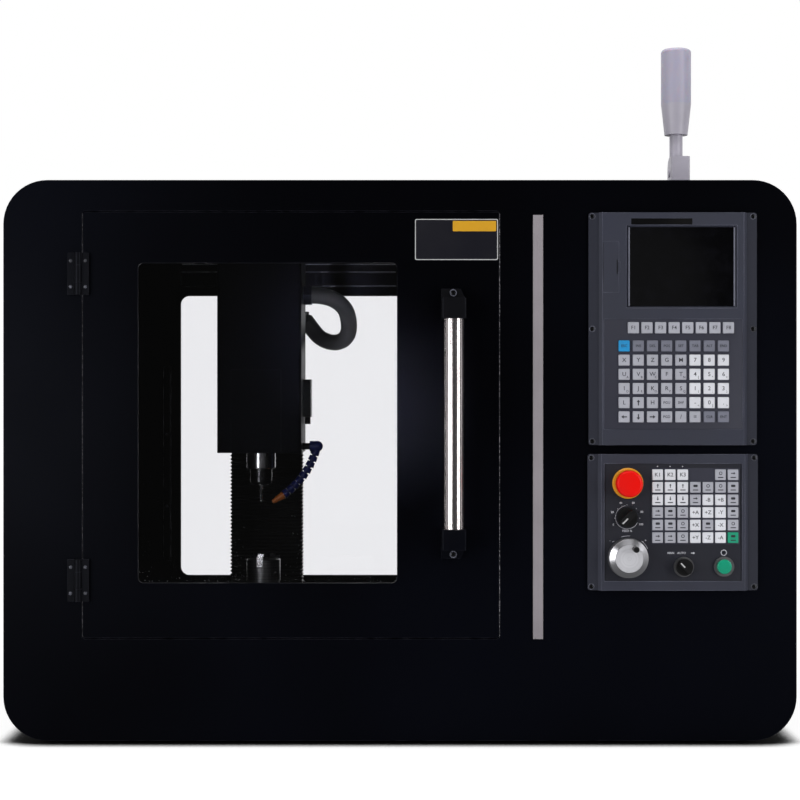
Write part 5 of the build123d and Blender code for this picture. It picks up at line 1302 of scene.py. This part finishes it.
class MILL_OT_operator_keys(bpy.types.Operator):
    """Keys of the operator panel with their sheet, legends and three small pilot lights."""
    bl_idname = "mill.operator_keys"
    bl_label = "Operator keys"

    def execute(self, context):
        levels = key_sheet("operator_keys", "operator_key_sheet")
        every = {(row, column) for row, line in enumerate(OPERATOR_LEGENDS)
                 for column, sign in enumerate(line) if sign}
        groups = {"key_green": {(5, 6)}, "key_white": OPERATOR_WHITE}
        groups["key_light"] = every - set().union(*groups.values())
        for finish, keys in groups.items():
            middles = [operator_key_middle(*key) for key in sorted(keys)]
            key_caps("operator_" + finish, finish, panel().operator_key, levels, middles)
        self.legends(levels[1] + panel().key_dish)
        self.pilots()
        return {"FINISHED"}

    def pilots(self):
        floor = deep(-panel().operator_floor)
        radius, height, edge = 0.9 * MM, 0.7 * MM, 0.4 * MM
        rise = panel().operator_pitch * 0.66
        pilot = add_drum("pilot_model", radius, (floor - height, floor))
        soften(pilot, rim_at(floor - height), edge, 3)
        middles = [operator_key_middle(0, column) for column in range(3)]
        spots = [Vector((x, 0, z + rise)) for x, z in middles]
        finish_piece(copy_to(pilot, spots, "pilot_lights"), FINISH["ink_pale"], "enclosure")

    def icon(self, sign, side):
        """Plain sign for the upper half of a key."""
        if sign == "o":
            return model_ring(side * 0.16, side * 0.1)
        if sign == "#":
            return model_bar(side * 0.4, side * 0.22)
        share, direction = OPERATOR_ARROWS[sign]
        return model_arrow(side * share, direction)

    def legends(self, y):
        side = panel().operator_key
        icon_rise, word_drop, word_width, word_height = (side * share for share in (0.14, 0.24, 0.5, 0.09))
        marks = []
        for row, line in enumerate(OPERATOR_LEGENDS):
            for column, sign in enumerate(line):
                x, z = operator_key_middle(row, column)
                if sign is None:
                    continue
                if len(sign) == 1:
                    marks.append(moved(self.icon(sign, side), x, y, z + icon_rise))
                    marks.append(moved(model_bar(word_width, word_height), x, y, z - word_drop))
                else:
                    marks.append(write(sign, side * 0.5, (x, z), y, "legend", panel().bold))
        legends = weld(join(marks, "operator_legends"), FINE_TOUCH)
        finish_piece(legends, FINISH["ink_dark"], "enclosure")


# Marks round the switches

def polar(middle, radius, degrees):
    """Place at an angle round a middle, counted from +X towards +Z."""
    turn = math.radians(degrees)
    return middle[0] + radius * math.cos(turn), middle[1] + radius * math.sin(turn)


def model_arc(middle, radius, width, start, end, y):
    """Flat arc round a middle, from one angle to another in degrees."""
    ink = panel().ink
    fewest_steps, degrees_a_step = 6, 5
    x, z = polar(middle, radius, start)
    arc = add_block("arc", (-width / 2, -ink, -width / 8), (width / 2, 0, 0))
    arc.rotation_euler = (0, -math.radians(start), 0)
    arc.location = (x, y, z)
    settle(arc)
    heading = Vector((-math.sin(math.radians(start)), 0, math.cos(math.radians(start))))
    pick(arc, "FACE", lambda face: face.normal.dot(heading) > 0.9)
    steps = max(fewest_steps, int(abs(end - start) / degrees_a_step))
    bpy.ops.mesh.spin(steps=steps, angle=math.radians(end - start), center=(middle[0], y, middle[1]),
                      axis=(0, -1, 0))
    return leave(arc)


class MILL_OT_dial_marks(bpy.types.Operator):
    """Scales, numbers and arrows printed round the feed knob, hand wheel, mode knob and start button."""
    bl_idname = "mill.dial_marks"
    bl_label = "Dial marks"

    def execute(self, context):
        y = deep(-panel().operator_floor) - panel().film_thick
        marks = self.feed_scale(y) + self.wheel_arrows(y) + self.switch_signs(y)
        piece = weld(join(marks, "dial_marks"), FINE_TOUCH)
        finish_piece(piece, FINISH["ink_pale"], "enclosure")
        return {"FINISHED"}

    def feed_scale(self, y):
        middle, bold = panel().feed_middle, panel().bold
        steps, first_turn, step_turn = 10, 208, 23.5
        arc_radius, arc_width = 17.4 * MM, 0.5 * MM
        tick_radius, tick_width, long_tick, short_tick = 18.8 * MM, 0.8 * MM, 2.6 * MM, 1.6 * MM
        number_radius, number_size = 23.4 * MM, 4.4 * MM
        caption_drop, caption_size = 20.5 * MM, 4.6 * MM
        marks = [model_arc(middle, arc_radius, arc_width, first_turn - steps * step_turn, first_turn, y)]
        for step in range(steps + 1):
            turn = first_turn - step * step_turn
            tick = model_bar(tick_width, short_tick if step % 2 else long_tick)
            tick.rotation_euler = (0, math.radians(90 - turn), 0)
            x, z = polar(middle, tick_radius, turn)
            marks.append(moved(tick, x, y, z))
            if step % 2 == 0:
                spot = polar(middle, number_radius, turn)
                marks.append(write(str(step * 10), number_size, spot, y, "number", bold))
        spot = (middle[0], middle[1] - caption_drop)
        marks.append(write("FEED %", caption_size, spot, y, "number", bold))
        return marks

    def wheel_arrows(self, y):
        middle = panel().wheel_middle
        arc_radius, arc_width, head_size, head_tilt = 32.6 * MM, 0.6 * MM, 3.0 * MM, 30
        sign_radius, sign_size, sign_lead = 37 * MM, 6 * MM, 4
        marks = []
        for start, end, way, direction, sign in ((108, 132, -1, "left", "-"), (72, 48, 1, "right", "+")):
            marks.append(model_arc(middle, arc_radius, arc_width, min(start, end), max(start, end), y))
            head = model_arrow(head_size, direction)
            head.rotation_euler = (0, math.radians(way * head_tilt), 0)
            x, z = polar(middle, arc_radius, end)
            marks.append(moved(head, x, y, z))
            spot = polar(middle, sign_radius, end - way * sign_lead)
            marks.append(write(sign, sign_size, spot, y, "sign"))
        return marks

    def switch_signs(self, y):
        (mode_x, mode_z), (start_x, start_z) = panel().mode_middle, panel().start_middle
        rise, sign_size, arrow_size = 20.5 * MM, 4.6 * MM, 6 * MM
        left_shift, middle_shift, right_shift = -19 * MM, -3 * MM, 14 * MM
        ring_outer, ring_inner, bar_width, bar_height = 4.5 * MM, 3.7 * MM, 0.9 * MM, 4.2 * MM
        marks = []
        for sign, shift in (("MAN", left_shift), ("AUTO", middle_shift)):
            marks.append(write(sign, sign_size, (mode_x + shift, mode_z + rise), y, "sign", panel().bold))
        marks.append(moved(model_arrow(arrow_size, "right"), mode_x + right_shift, y, mode_z + rise))
        for mark in (model_ring(ring_outer, ring_inner, 24), model_bar(bar_width, bar_height)):
            marks.append(moved(mark, start_x, y, start_z + rise))
        return marks


class MILL_OT_panel_fittings(bpy.types.Operator):
    """Bezel screws and washers, dark film, edges of the screen, painted shade of the flap's slit, and the
    bare strip.
    """
    bl_idname = "mill.panel_fittings"
    bl_label = "Panel fittings"

    def execute(self, context):
        self.screws("screen_bezel", 3)
        self.screws("operator_bezel", 2)
        self.film()
        self.reveals()
        self.slit_shade()
        self.strip()
        return {"FINISHED"}

    def screws(self, node, rows):
        low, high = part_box(node)
        inset = panel().screw_inset
        seat, height = deep(-1.8 * MM), 2.1 * MM
        outer, inner, thick, edge = 4.8 * MM, 3.5 * MM, 0.5 * MM, 0.2 * MM
        spots = []
        for side in (low[0] + inset, high[0] - inset):
            for step in range(rows):
                share = step / (rows - 1)
                spots.append(Vector((side, 0, low[2] + inset + share * (high[2] - low[2] - 2 * inset))))
        screw = model_screw(panel().screw_radius, height, seat)
        finish_piece(copy_to(screw, spots, node + "_screws"), FINISH["nut"], "enclosure")
        washer = soften(model_ring(outer, inner, 24, thick), rim_at(-thick), edge)
        under = Vector((0, deep(-panel().flange_face), 0))
        washers = copy_to(washer, [spot + under for spot in spots], node + "_washers")
        finish_piece(washers, FINISH["bolt"], "enclosure")

    def film(self):
        x, _, z = halfway(*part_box("operator_bezel"))
        floor = deep(-panel().operator_floor)
        corner = 1.5 * MM
        film = add_plate("operator_film", (x, z), (panel().film_width, panel().film_height),
                         (floor - panel().film_thick, floor))
        soften(film, edge_runs(1), corner, 3)
        finish_piece(film, FINISH["film"], "enclosure")

    def reveals(self):
        low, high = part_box("display")
        width, lead, edge = 2.4 * MM, 0.8 * MM, 0.35 * MM
        bars = []
        for left in (low[0], high[0] - width):
            bar = add_block("reveal", (left, low[1] - lead, low[2]), (left + width, low[1], high[2]))
            bars.append(soften(bar, edge_runs(2), edge))
        finish_piece(join(bars, "screen_reveals"), FINISH["reveal"], "enclosure")

    def slit_shade(self):
        # A thin dark block, nearly flush, painted as the shade in the slit of the flap
        low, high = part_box("usb_flap")
        inset, width, height = 4.2 * MM, 1.4 * MM, 22 * MM
        proud, sunk, edge = 0.06 * MM, 0.4 * MM, 0.4 * MM
        shade_line = add_plate("flap_slit_shade", (high[0] - inset, (low[2] + high[2]) / 2), (width, height),
                         (low[1] - proud, low[1] + sunk))
        soften(shade_line, edge_runs(1), edge)
        finish_piece(shade_line, FINISH["strip_black"], "usb_flap")

    def strip(self):
        face = deep(-panel().bezel_face)
        proud, sunk, corner, edge = 0.1 * MM, 0.45 * MM, 0.6 * MM, 0.15 * MM
        strip = add_plate("bare_strip", panel().strip_middle, (panel().strip_width, panel().strip_height),
                          (face - proud, face + sunk))
        soften(strip, edge_runs(1), corner)
        soften(strip, rim_at(face - proud), edge)
        finish_piece(strip, FINISH["strip_black"], "enclosure")


class MILL_OT_knob_pointers(bpy.types.Operator):
    """White fill in the pointer grooves of the feed knob and the mode knob."""
    bl_idname = "mill.knob_pointers"
    bl_label = "Knob pointers"

    def execute(self, context):
        half = panel().pointer_width / 2
        top, floor, corner = 0.1 * MM, 0.8 * MM, half * 0.6
        for node, middle, turn, reach in (("feed_knob", panel().feed_middle, 225, panel().feed_pointer),
                                          ("mode_knob", panel().mode_middle, 135, panel().mode_pointer)):
            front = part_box(node)[0][1]
            fill = add_block(node + "_pointer", (half, front + top, -half), (reach, front + floor, half))
            soften(fill, edge_runs(1), corner)
            fill.matrix_world = Matrix.Translation((middle[0], 0, middle[1])) @ Matrix.Rotation(
                -math.radians(turn), 4, "Y")
            finish_piece(settle(fill), FINISH["plate_white"], node)
        return {"FINISHED"}


def model_screw(radius, height, seat):
    """Socket screw head that stands on a seat and faces the front."""
    edge, wall, socket = radius * 0.22, radius * 0.4, height * 0.6
    screw = add_drum("screw_model", radius, (seat - height, seat), sides=18)
    soften(screw, rim_at(seat - height), edge)
    return pocket_front(screw, wall, socket)


class MILL_OT_door_fittings(bpy.types.Operator):
    """Plain plate, bracket bolts and hinge screws on the door, and pale strips in its seams that paint the
    light through them.
    """
    bl_idname = "mill.door_fittings"
    bl_label = "Door fittings"

    def execute(self, context):
        self.plate()
        self.bracket_bolts()
        self.hinge_screws()
        self.seam_lights()
        return {"FINISHED"}

    def plate(self):
        (left, bottom), (right, top) = panel().plate_low, panel().plate_high
        rim, thick, sink, coat = 1.3 * MM, 0.4 * MM, 0.08 * MM, 0.06 * MM
        plate_corner, field_corner, band_corner = 2.4 * MM, 1.6 * MM, 1.2 * MM
        split_share, floor_share, band_rim = 0.455, 0.7, 2.2 * rim
        plate = add_block("door_plate", (left, FRONT - thick, bottom), (right, FRONT, top))
        soften(plate, edge_runs(1), plate_corner, 3)
        sink_front(plate, rim, sink)
        finish_piece(plate, FINISH["plate_white"], "door")
        level = FRONT - thick + sink
        field = add_block("door_plate_field", (left + rim, level - coat, bottom + rim),
                          (right - rim, level, top - rim))
        soften(field, edge_runs(1), field_corner, 3)
        finish_piece(field, FINISH["plate_dark"], "door")
        split = left + (right - left) * split_share
        floor = bottom + (top - bottom) * floor_share
        band = add_block("door_plate_band", (split, level - 2 * coat, floor),
                         (right - band_rim, level - coat, top - band_rim))
        soften(band, edge_runs(1), band_corner, 3)
        finish_piece(band, FINISH["plate_yellow"], "door")

    def bracket_bolts(self):
        low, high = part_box("handle_brackets")
        seat, radius, height, inset = deep(-14 * MM), 3.9 * MM, 3.2 * MM, 6 * MM
        outer, inner, thick = 5.4 * MM, 4.0 * MM, 1.2 * MM
        x = (low[0] + high[0]) / 2
        spots = [Vector((x, 0, z)) for z in (low[2] + inset, high[2] - inset)]
        bolts = copy_to(model_screw(radius, height, seat), spots, "bracket_bolts")
        finish_piece(bolts, FINISH["nut"], "door")
        under = Vector((0, seat, 0))
        washers = copy_to(model_ring(outer, inner, 24, thick), [spot + under for spot in spots],
                          "bracket_washers")
        finish_piece(washers, FINISH["reveal"], "door")

    def hinge_screws(self):
        radius, height, inset = 2.6 * MM, 0.7 * MM, 12 * MM
        reach, hinge = panel().leaf_screw, panel().hinge_height
        for node, body, side in (("hinge_leaves", "door", 1), ("hinge_posts", "enclosure", 0)):
            low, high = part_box(node)
            x = (low[0] + reach, high[0] - reach)[side]
            levels = (low[2] + inset, low[2] + hinge - inset, high[2] - hinge + inset, high[2] - inset)
            screw = model_screw(radius, height, low[1] + panel().knuckle_lead)
            screws = copy_to(screw, [Vector((x, 0, z)) for z in levels], node + "_screws")
            finish_piece(screws, FINISH["bolt"], body)

    def seam_lights(self):
        low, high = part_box("door_panel")
        gap, thick, start, reach = 1.5 * MM, 0.9 * MM, deep(0.5 * MM), 4 * MM
        # Pale strips in the seams as painted light; the hinge side gets the darker, shaded copy
        for name, left, finish in (("latch_seam_light", high[0] + gap - thick, "seam_light_and_residue"),
                                   ("hinge_seam_light", low[0] - gap, "seam_light_shaded")):
            seam_strip = add_block(name, (left, start, low[2]), (left + thick, start + reach, high[2]))
            soften(seam_strip, edge_runs(2), thick * 0.3)
            finish_piece(seam_strip, FINISH[finish], "enclosure")


class MILL_OT_rear_highlights(bpy.types.Operator):
    """Pale strips that paint the highlights of lit sheet edges, and strip screws, on the inside of the rear
    panel.
    """
    bl_idname = "mill.rear_trim"
    bl_label = "Rear highlights"

    def execute(self, context):
        strip, sheet = inside().strip_face, inside().sheet_face
        left, short_left, right = -0.408, -0.145, -0.008
        lead, half_height, edge = 0.9 * MM, 0.7 * MM, 0.2 * MM
        screw_radius, screw_height, screw_x, screw_levels = 2.8 * MM, 1.4 * MM, -0.4357, (0.318, 0.452)
        bars = []
        for start, z, face in ((left, 0.7552, strip), (short_left, 0.7292, strip), (left, 0.7700, sheet)):
            bar = add_block("highlight_strip", (start, deep(face - lead), z - half_height),
                            (right, deep(face), z + half_height))
            bars.append(soften(bar, edge_runs(0), edge))
        finish_piece(join(bars, "rear_highlight_strips"), FINISH["highlight_strip"], "enclosure")
        screw = model_screw(screw_radius, screw_height, deep(strip))
        spots = [Vector((screw_x, 0, z)) for z in screw_levels]
        finish_piece(copy_to(screw, spots, "strip_screws"), FINISH["bolt"], "enclosure")
        return {"FINISHED"}


class MILL_OT_chips(bpy.types.Operator):
    """Chips caught in the pleats and on the inside of the window."""
    bl_idname = "mill.chips"
    bl_label = "Chips"

    def execute(self, context):
        draw = random.Random(7)
        self.on_cover(draw)
        self.on_window(draw)
        return {"FINISHED"}

    def toss(self, draw, spot, low_share, high_share):
        """Place, turn and size of one chip at a spot."""
        tilt = 0.5
        turn = Matrix.Rotation(draw.uniform(0, FULL_TURN), 4, "Y") @ Matrix.Rotation(
            draw.uniform(-tilt, tilt), 4, "X")
        return Matrix.Translation(spot) @ turn @ Matrix.Scale(draw.uniform(low_share, high_share), 4)

    def on_cover(self, draw):
        low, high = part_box("z_bellows")
        middle = halfway(low, high)
        count, reach, scatter, climb, thinning = 64, 0.05, 0.01, 0.11, 1.8
        margin, lead = 4 * MM, 0.2 * MM
        moves = []
        for chip in range(count):
            x = middle[0] + draw.choice((-1, -1, 1)) * draw.gauss(reach, scatter)
            x = min(max(x, low[0] + margin), high[0] - margin)
            z = low[2] + inside().chip_rise + climb * draw.random() ** thinning
            moves.append(self.toss(draw, (x, low[1] - lead, z), 0.3, 0.9))
        chips = copy_to(self.model_chip(), moves, "cover_chips")
        finish_piece(chips, FINISH["chip"], None)
        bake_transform(chips)

    def on_window(self, draw):
        low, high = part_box("door_window")
        lap = inside().pane_lap
        count, climb, thinning = 90, 0.024, 2
        margin, lead = 2 * MM, 0.6 * MM
        moves = []
        for chip in range(count):
            x = draw.uniform(low[0] + lap, high[0] - lap)
            z = low[2] + lap + margin + climb * draw.random() ** thinning
            moves.append(self.toss(draw, (x, high[1] + lead, z), 0.16, 0.45))
        chips = copy_to(self.model_chip(), moves, "window_chips")
        finish_piece(chips, FINISH["chip"], "door")

    def model_chip(self):
        """Short curled flake."""
        size, thick = inside().chip_size, 0.25 * MM
        width_share, curl_share, tighter, narrower, lean = 0.34, 0.26, 0.35, 0.4, 0.2
        activate()
        bpy.ops.mesh.primitive_grid_add(x_subdivisions=6, y_subdivisions=1, size=size)
        chip = fresh("chip_model")
        chip.scale = (1, width_share, 1)
        settle(chip)
        for vertex in chip.data.vertices:
            share = vertex.co.x / size + 0.5
            turn = share * 1.6 * math.pi
            curl = size * curl_share * (1 - tighter * share)
            vertex.co = (curl * math.cos(turn), vertex.co.y * (1 - narrower * share) + share * size * lean,
                         curl * math.sin(turn))
        wall = chip.modifiers.new("wall", "SOLIDIFY")
        wall.thickness = thick
        return weld(apply_modifiers(chip))


class MILL_OT_stage(bpy.types.Operator):
    """Pale floor, white room, soft lights and the camera."""
    bl_idname = "mill.stage"
    bl_label = "Stage"

    def execute(self, context):
        context.scene.view_settings.view_transform = "Standard"
        self.floor()
        self.world()
        self.lights()
        self.camera()
        return {"FINISHED"}

    def floor(self):
        activate()
        floor_radius, full_glow, mirrored_glow = 2.1, 1.35, 0.1
        paper_white, shadow = (0.86, 0.86, 0.87), (0.004, 0.004, 0.004)
        bpy.ops.mesh.primitive_circle_add(vertices=96, radius=floor_radius, fill_type="NGON")
        floor = fresh("floor")
        finish = Finish("floor_paper", paper_white, 0.9)
        paper = noise(finish.tree, object_point(finish.tree), 400.0)
        finish.bump(paper, 0.00005)
        tree = finish.tree
        path = tree.nodes.new("ShaderNodeLightPath")
        glow = tree.nodes.new("ShaderNodeEmission")
        both = tree.nodes.new("ShaderNodeMixShader")
        turned_back = ramp(tree, path.outputs["Glossy Depth"], 0.0, 1.0)
        seen = math_node(tree, "MAXIMUM", math_node(tree, "MAXIMUM", path.outputs["Is Camera Ray"],
                                                    path.outputs["Is Glossy Ray"]),
                         path.outputs["Is Transmission Ray"])
        straight = math_node(tree, "SUBTRACT", 1.0, turned_back)
        hollow = tree.nodes.new("ShaderNodeAmbientOcclusion")
        hollow.samples = 8
        hollow.inputs["Distance"].default_value = studio().shadow_reach
        clear = ramp(tree, hollow.outputs["AO"], 0.56, 0.96)
        finish.mix(math_node(tree, "SUBTRACT", 1.0, clear), shadow)
        lit = math_node(tree, "MULTIPLY", straight, clear)
        dim = math_node(tree, "MULTIPLY", turned_back, mirrored_glow)
        tree.links.new(math_node(tree, "MULTIPLY_ADD", lit, full_glow, dim), glow.inputs["Strength"])
        share = math_node(tree, "MULTIPLY_ADD", turned_back, 0.3, 0.62)
        tree.links.new(math_node(tree, "MULTIPLY", seen, share), both.inputs["Fac"])
        tree.links.new(finish.shader.outputs["BSDF"], both.inputs[1])
        tree.links.new(glow.outputs["Emission"], both.inputs[2])
        tree.links.new(both.outputs["Shader"], tree.nodes["Material Output"].inputs["Surface"])
        floor.data.materials.append(finish.material)

    def world(self):
        world = bpy.data.worlds.new("white_room")
        bpy.context.scene.world = world
        world.use_nodes = True
        tree = world.node_tree
        background = tree.nodes["Background"]
        background.inputs["Color"].default_value = (1.0, 1.0, 1.0, 1.0)
        path = tree.nodes.new("ShaderNodeLightPath")
        coordinates = tree.nodes.new("ShaderNodeTexCoord")
        parts = tree.nodes.new("ShaderNodeSeparateXYZ")
        tree.links.new(coordinates.outputs["Generated"], parts.inputs["Vector"])
        behind = ramp(tree, parts.outputs["Y"], -0.25, 0.15)
        mirrored = spread(tree, behind, (1 + studio().dark_side) / 2, 1 - studio().dark_side)
        bounces = math_node(tree, "ADD", path.outputs["Diffuse Depth"], path.outputs["Glossy Depth"])
        straight = math_node(tree, "LESS_THAN", bounces, 0.5)
        through = math_node(tree, "MULTIPLY", path.outputs["Is Transmission Ray"], straight)
        clear = math_node(tree, "MAXIMUM", path.outputs["Is Camera Ray"], through)
        glossy = math_node(tree, "GREATER_THAN", path.outputs["Glossy Depth"], 0.5)
        level = mix_values(tree, glossy, studio().room, mirrored)
        tree.links.new(mix_values(tree, clear, level, 1.0), background.inputs["Strength"])

    def lights(self):
        middle, work_space = Vector((0, 0, 0.5)), Vector((-0.2, 0, 0.5))
        rear_trim, screen = Vector((-0.09, 0.37, 0.755)), Vector((0.42, FRONT, 0.72))
        fill_spread = math.radians(12)
        for side in (-1, 1):
            add_light("side_light", (side * 1.9, -1.75, 0.75), middle, (0.75, 1.7), studio().side_power)
        add_light("top_light", (0, -0.5, 2.6), middle, (2.2, 1.6), studio().top_power)
        add_light("window_light", (-1.3, FRONT - 2.5, 0.45), work_space, (0.5, 0.5), studio().window_power)
        fill = add_light("fill_light", (0.05, FRONT - 1.2, 0.1), rear_trim, (0.1, 0.1), studio().fill_power)
        fill.data.spread = fill_spread
        fill.visible_camera = fill.visible_glossy = fill.visible_transmission = False
        add_light("dish_light", (0.72, FRONT - 2.85, 0.86), screen, (0.42, 0.42), studio().dish_power, "DISK")

    def camera(self):
        data = bpy.data.cameras.new("camera")
        data.lens = studio().lens
        camera = bpy.data.objects.new("camera", data)
        camera.location = (0, FRONT - studio().camera_distance, studio().camera_height)
        camera.rotation_euler = (math.pi / 2, 0, 0)
        bpy.context.collection.objects.link(camera)
        bpy.context.scene.camera = camera


def add_light(name, spot, aim, size, power, shape="RECTANGLE"):
    """Soft area light aimed at a point."""
    data = bpy.data.lights.new(name, "AREA")
    data.shape = shape
    data.size, data.size_y = size
    data.energy = power
    lamp = bpy.data.objects.new(name, data)
    lamp.location = spot
    lamp.rotation_euler = (aim - Vector(spot)).to_track_quat("-Z", "Y").to_euler()
    bpy.context.collection.objects.link(lamp)
    return lamp


class MILL_PT_looks(bpy.types.Panel):
    """Lists the steps that dress the machine."""
    bl_idname = "MILL_PT_looks"
    bl_label = "Benchtop mill"
    bl_space_type = "VIEW_3D"
    bl_region_type = "UI"
    bl_category = "Mill"

    def draw(self, context):
        for step in STEPS:
            self.layout.operator(step.bl_idname)


STEPS = (MILL_OT_frame_finishes, MILL_OT_conduit, MILL_OT_pleated_cover, MILL_OT_ball_screws,
         MILL_OT_end_mill, MILL_OT_main_keys, MILL_OT_operator_keys, MILL_OT_dial_marks,
         MILL_OT_panel_fittings, MILL_OT_knob_pointers, MILL_OT_door_fittings, MILL_OT_rear_highlights,
         MILL_OT_chips, MILL_OT_stage)
GROUPS = {"mill_panel": MILL_PG_panel, "mill_inside": MILL_PG_inside, "mill_colours": MILL_PG_colours,
          "mill_studio": MILL_PG_studio}


def register():
    for group in GROUPS.values():
        bpy.utils.register_class(group)
    for name, group in GROUPS.items():
        setattr(bpy.types.Scene, name, bpy.props.PointerProperty(type=group))
    for step in STEPS:
        bpy.utils.register_class(step)
    bpy.utils.register_class(MILL_PT_looks)


def unregister():
    bpy.utils.unregister_class(MILL_PT_looks)
    for step in reversed(STEPS):
        bpy.utils.unregister_class(step)
    for name, group in GROUPS.items():
        delattr(bpy.types.Scene, name)
        bpy.utils.unregister_class(group)


def main():
    register()
    bpy.ops.mill.frame_finishes()
    bpy.ops.mill.conduit()
    bpy.ops.mill.pleated_cover()
    bpy.ops.mill.ball_screws()
    bpy.ops.mill.end_mill()
    bpy.ops.mill.main_keys()
    bpy.ops.mill.operator_keys()
    bpy.ops.mill.dial_marks()
    bpy.ops.mill.panel_fittings()
    bpy.ops.mill.knob_pointers()
    bpy.ops.mill.door_fittings()
    bpy.ops.mill.rear_trim()
    bpy.ops.mill.chips()
    bpy.ops.mill.stage()


if __name__ == "__main__":
    main()
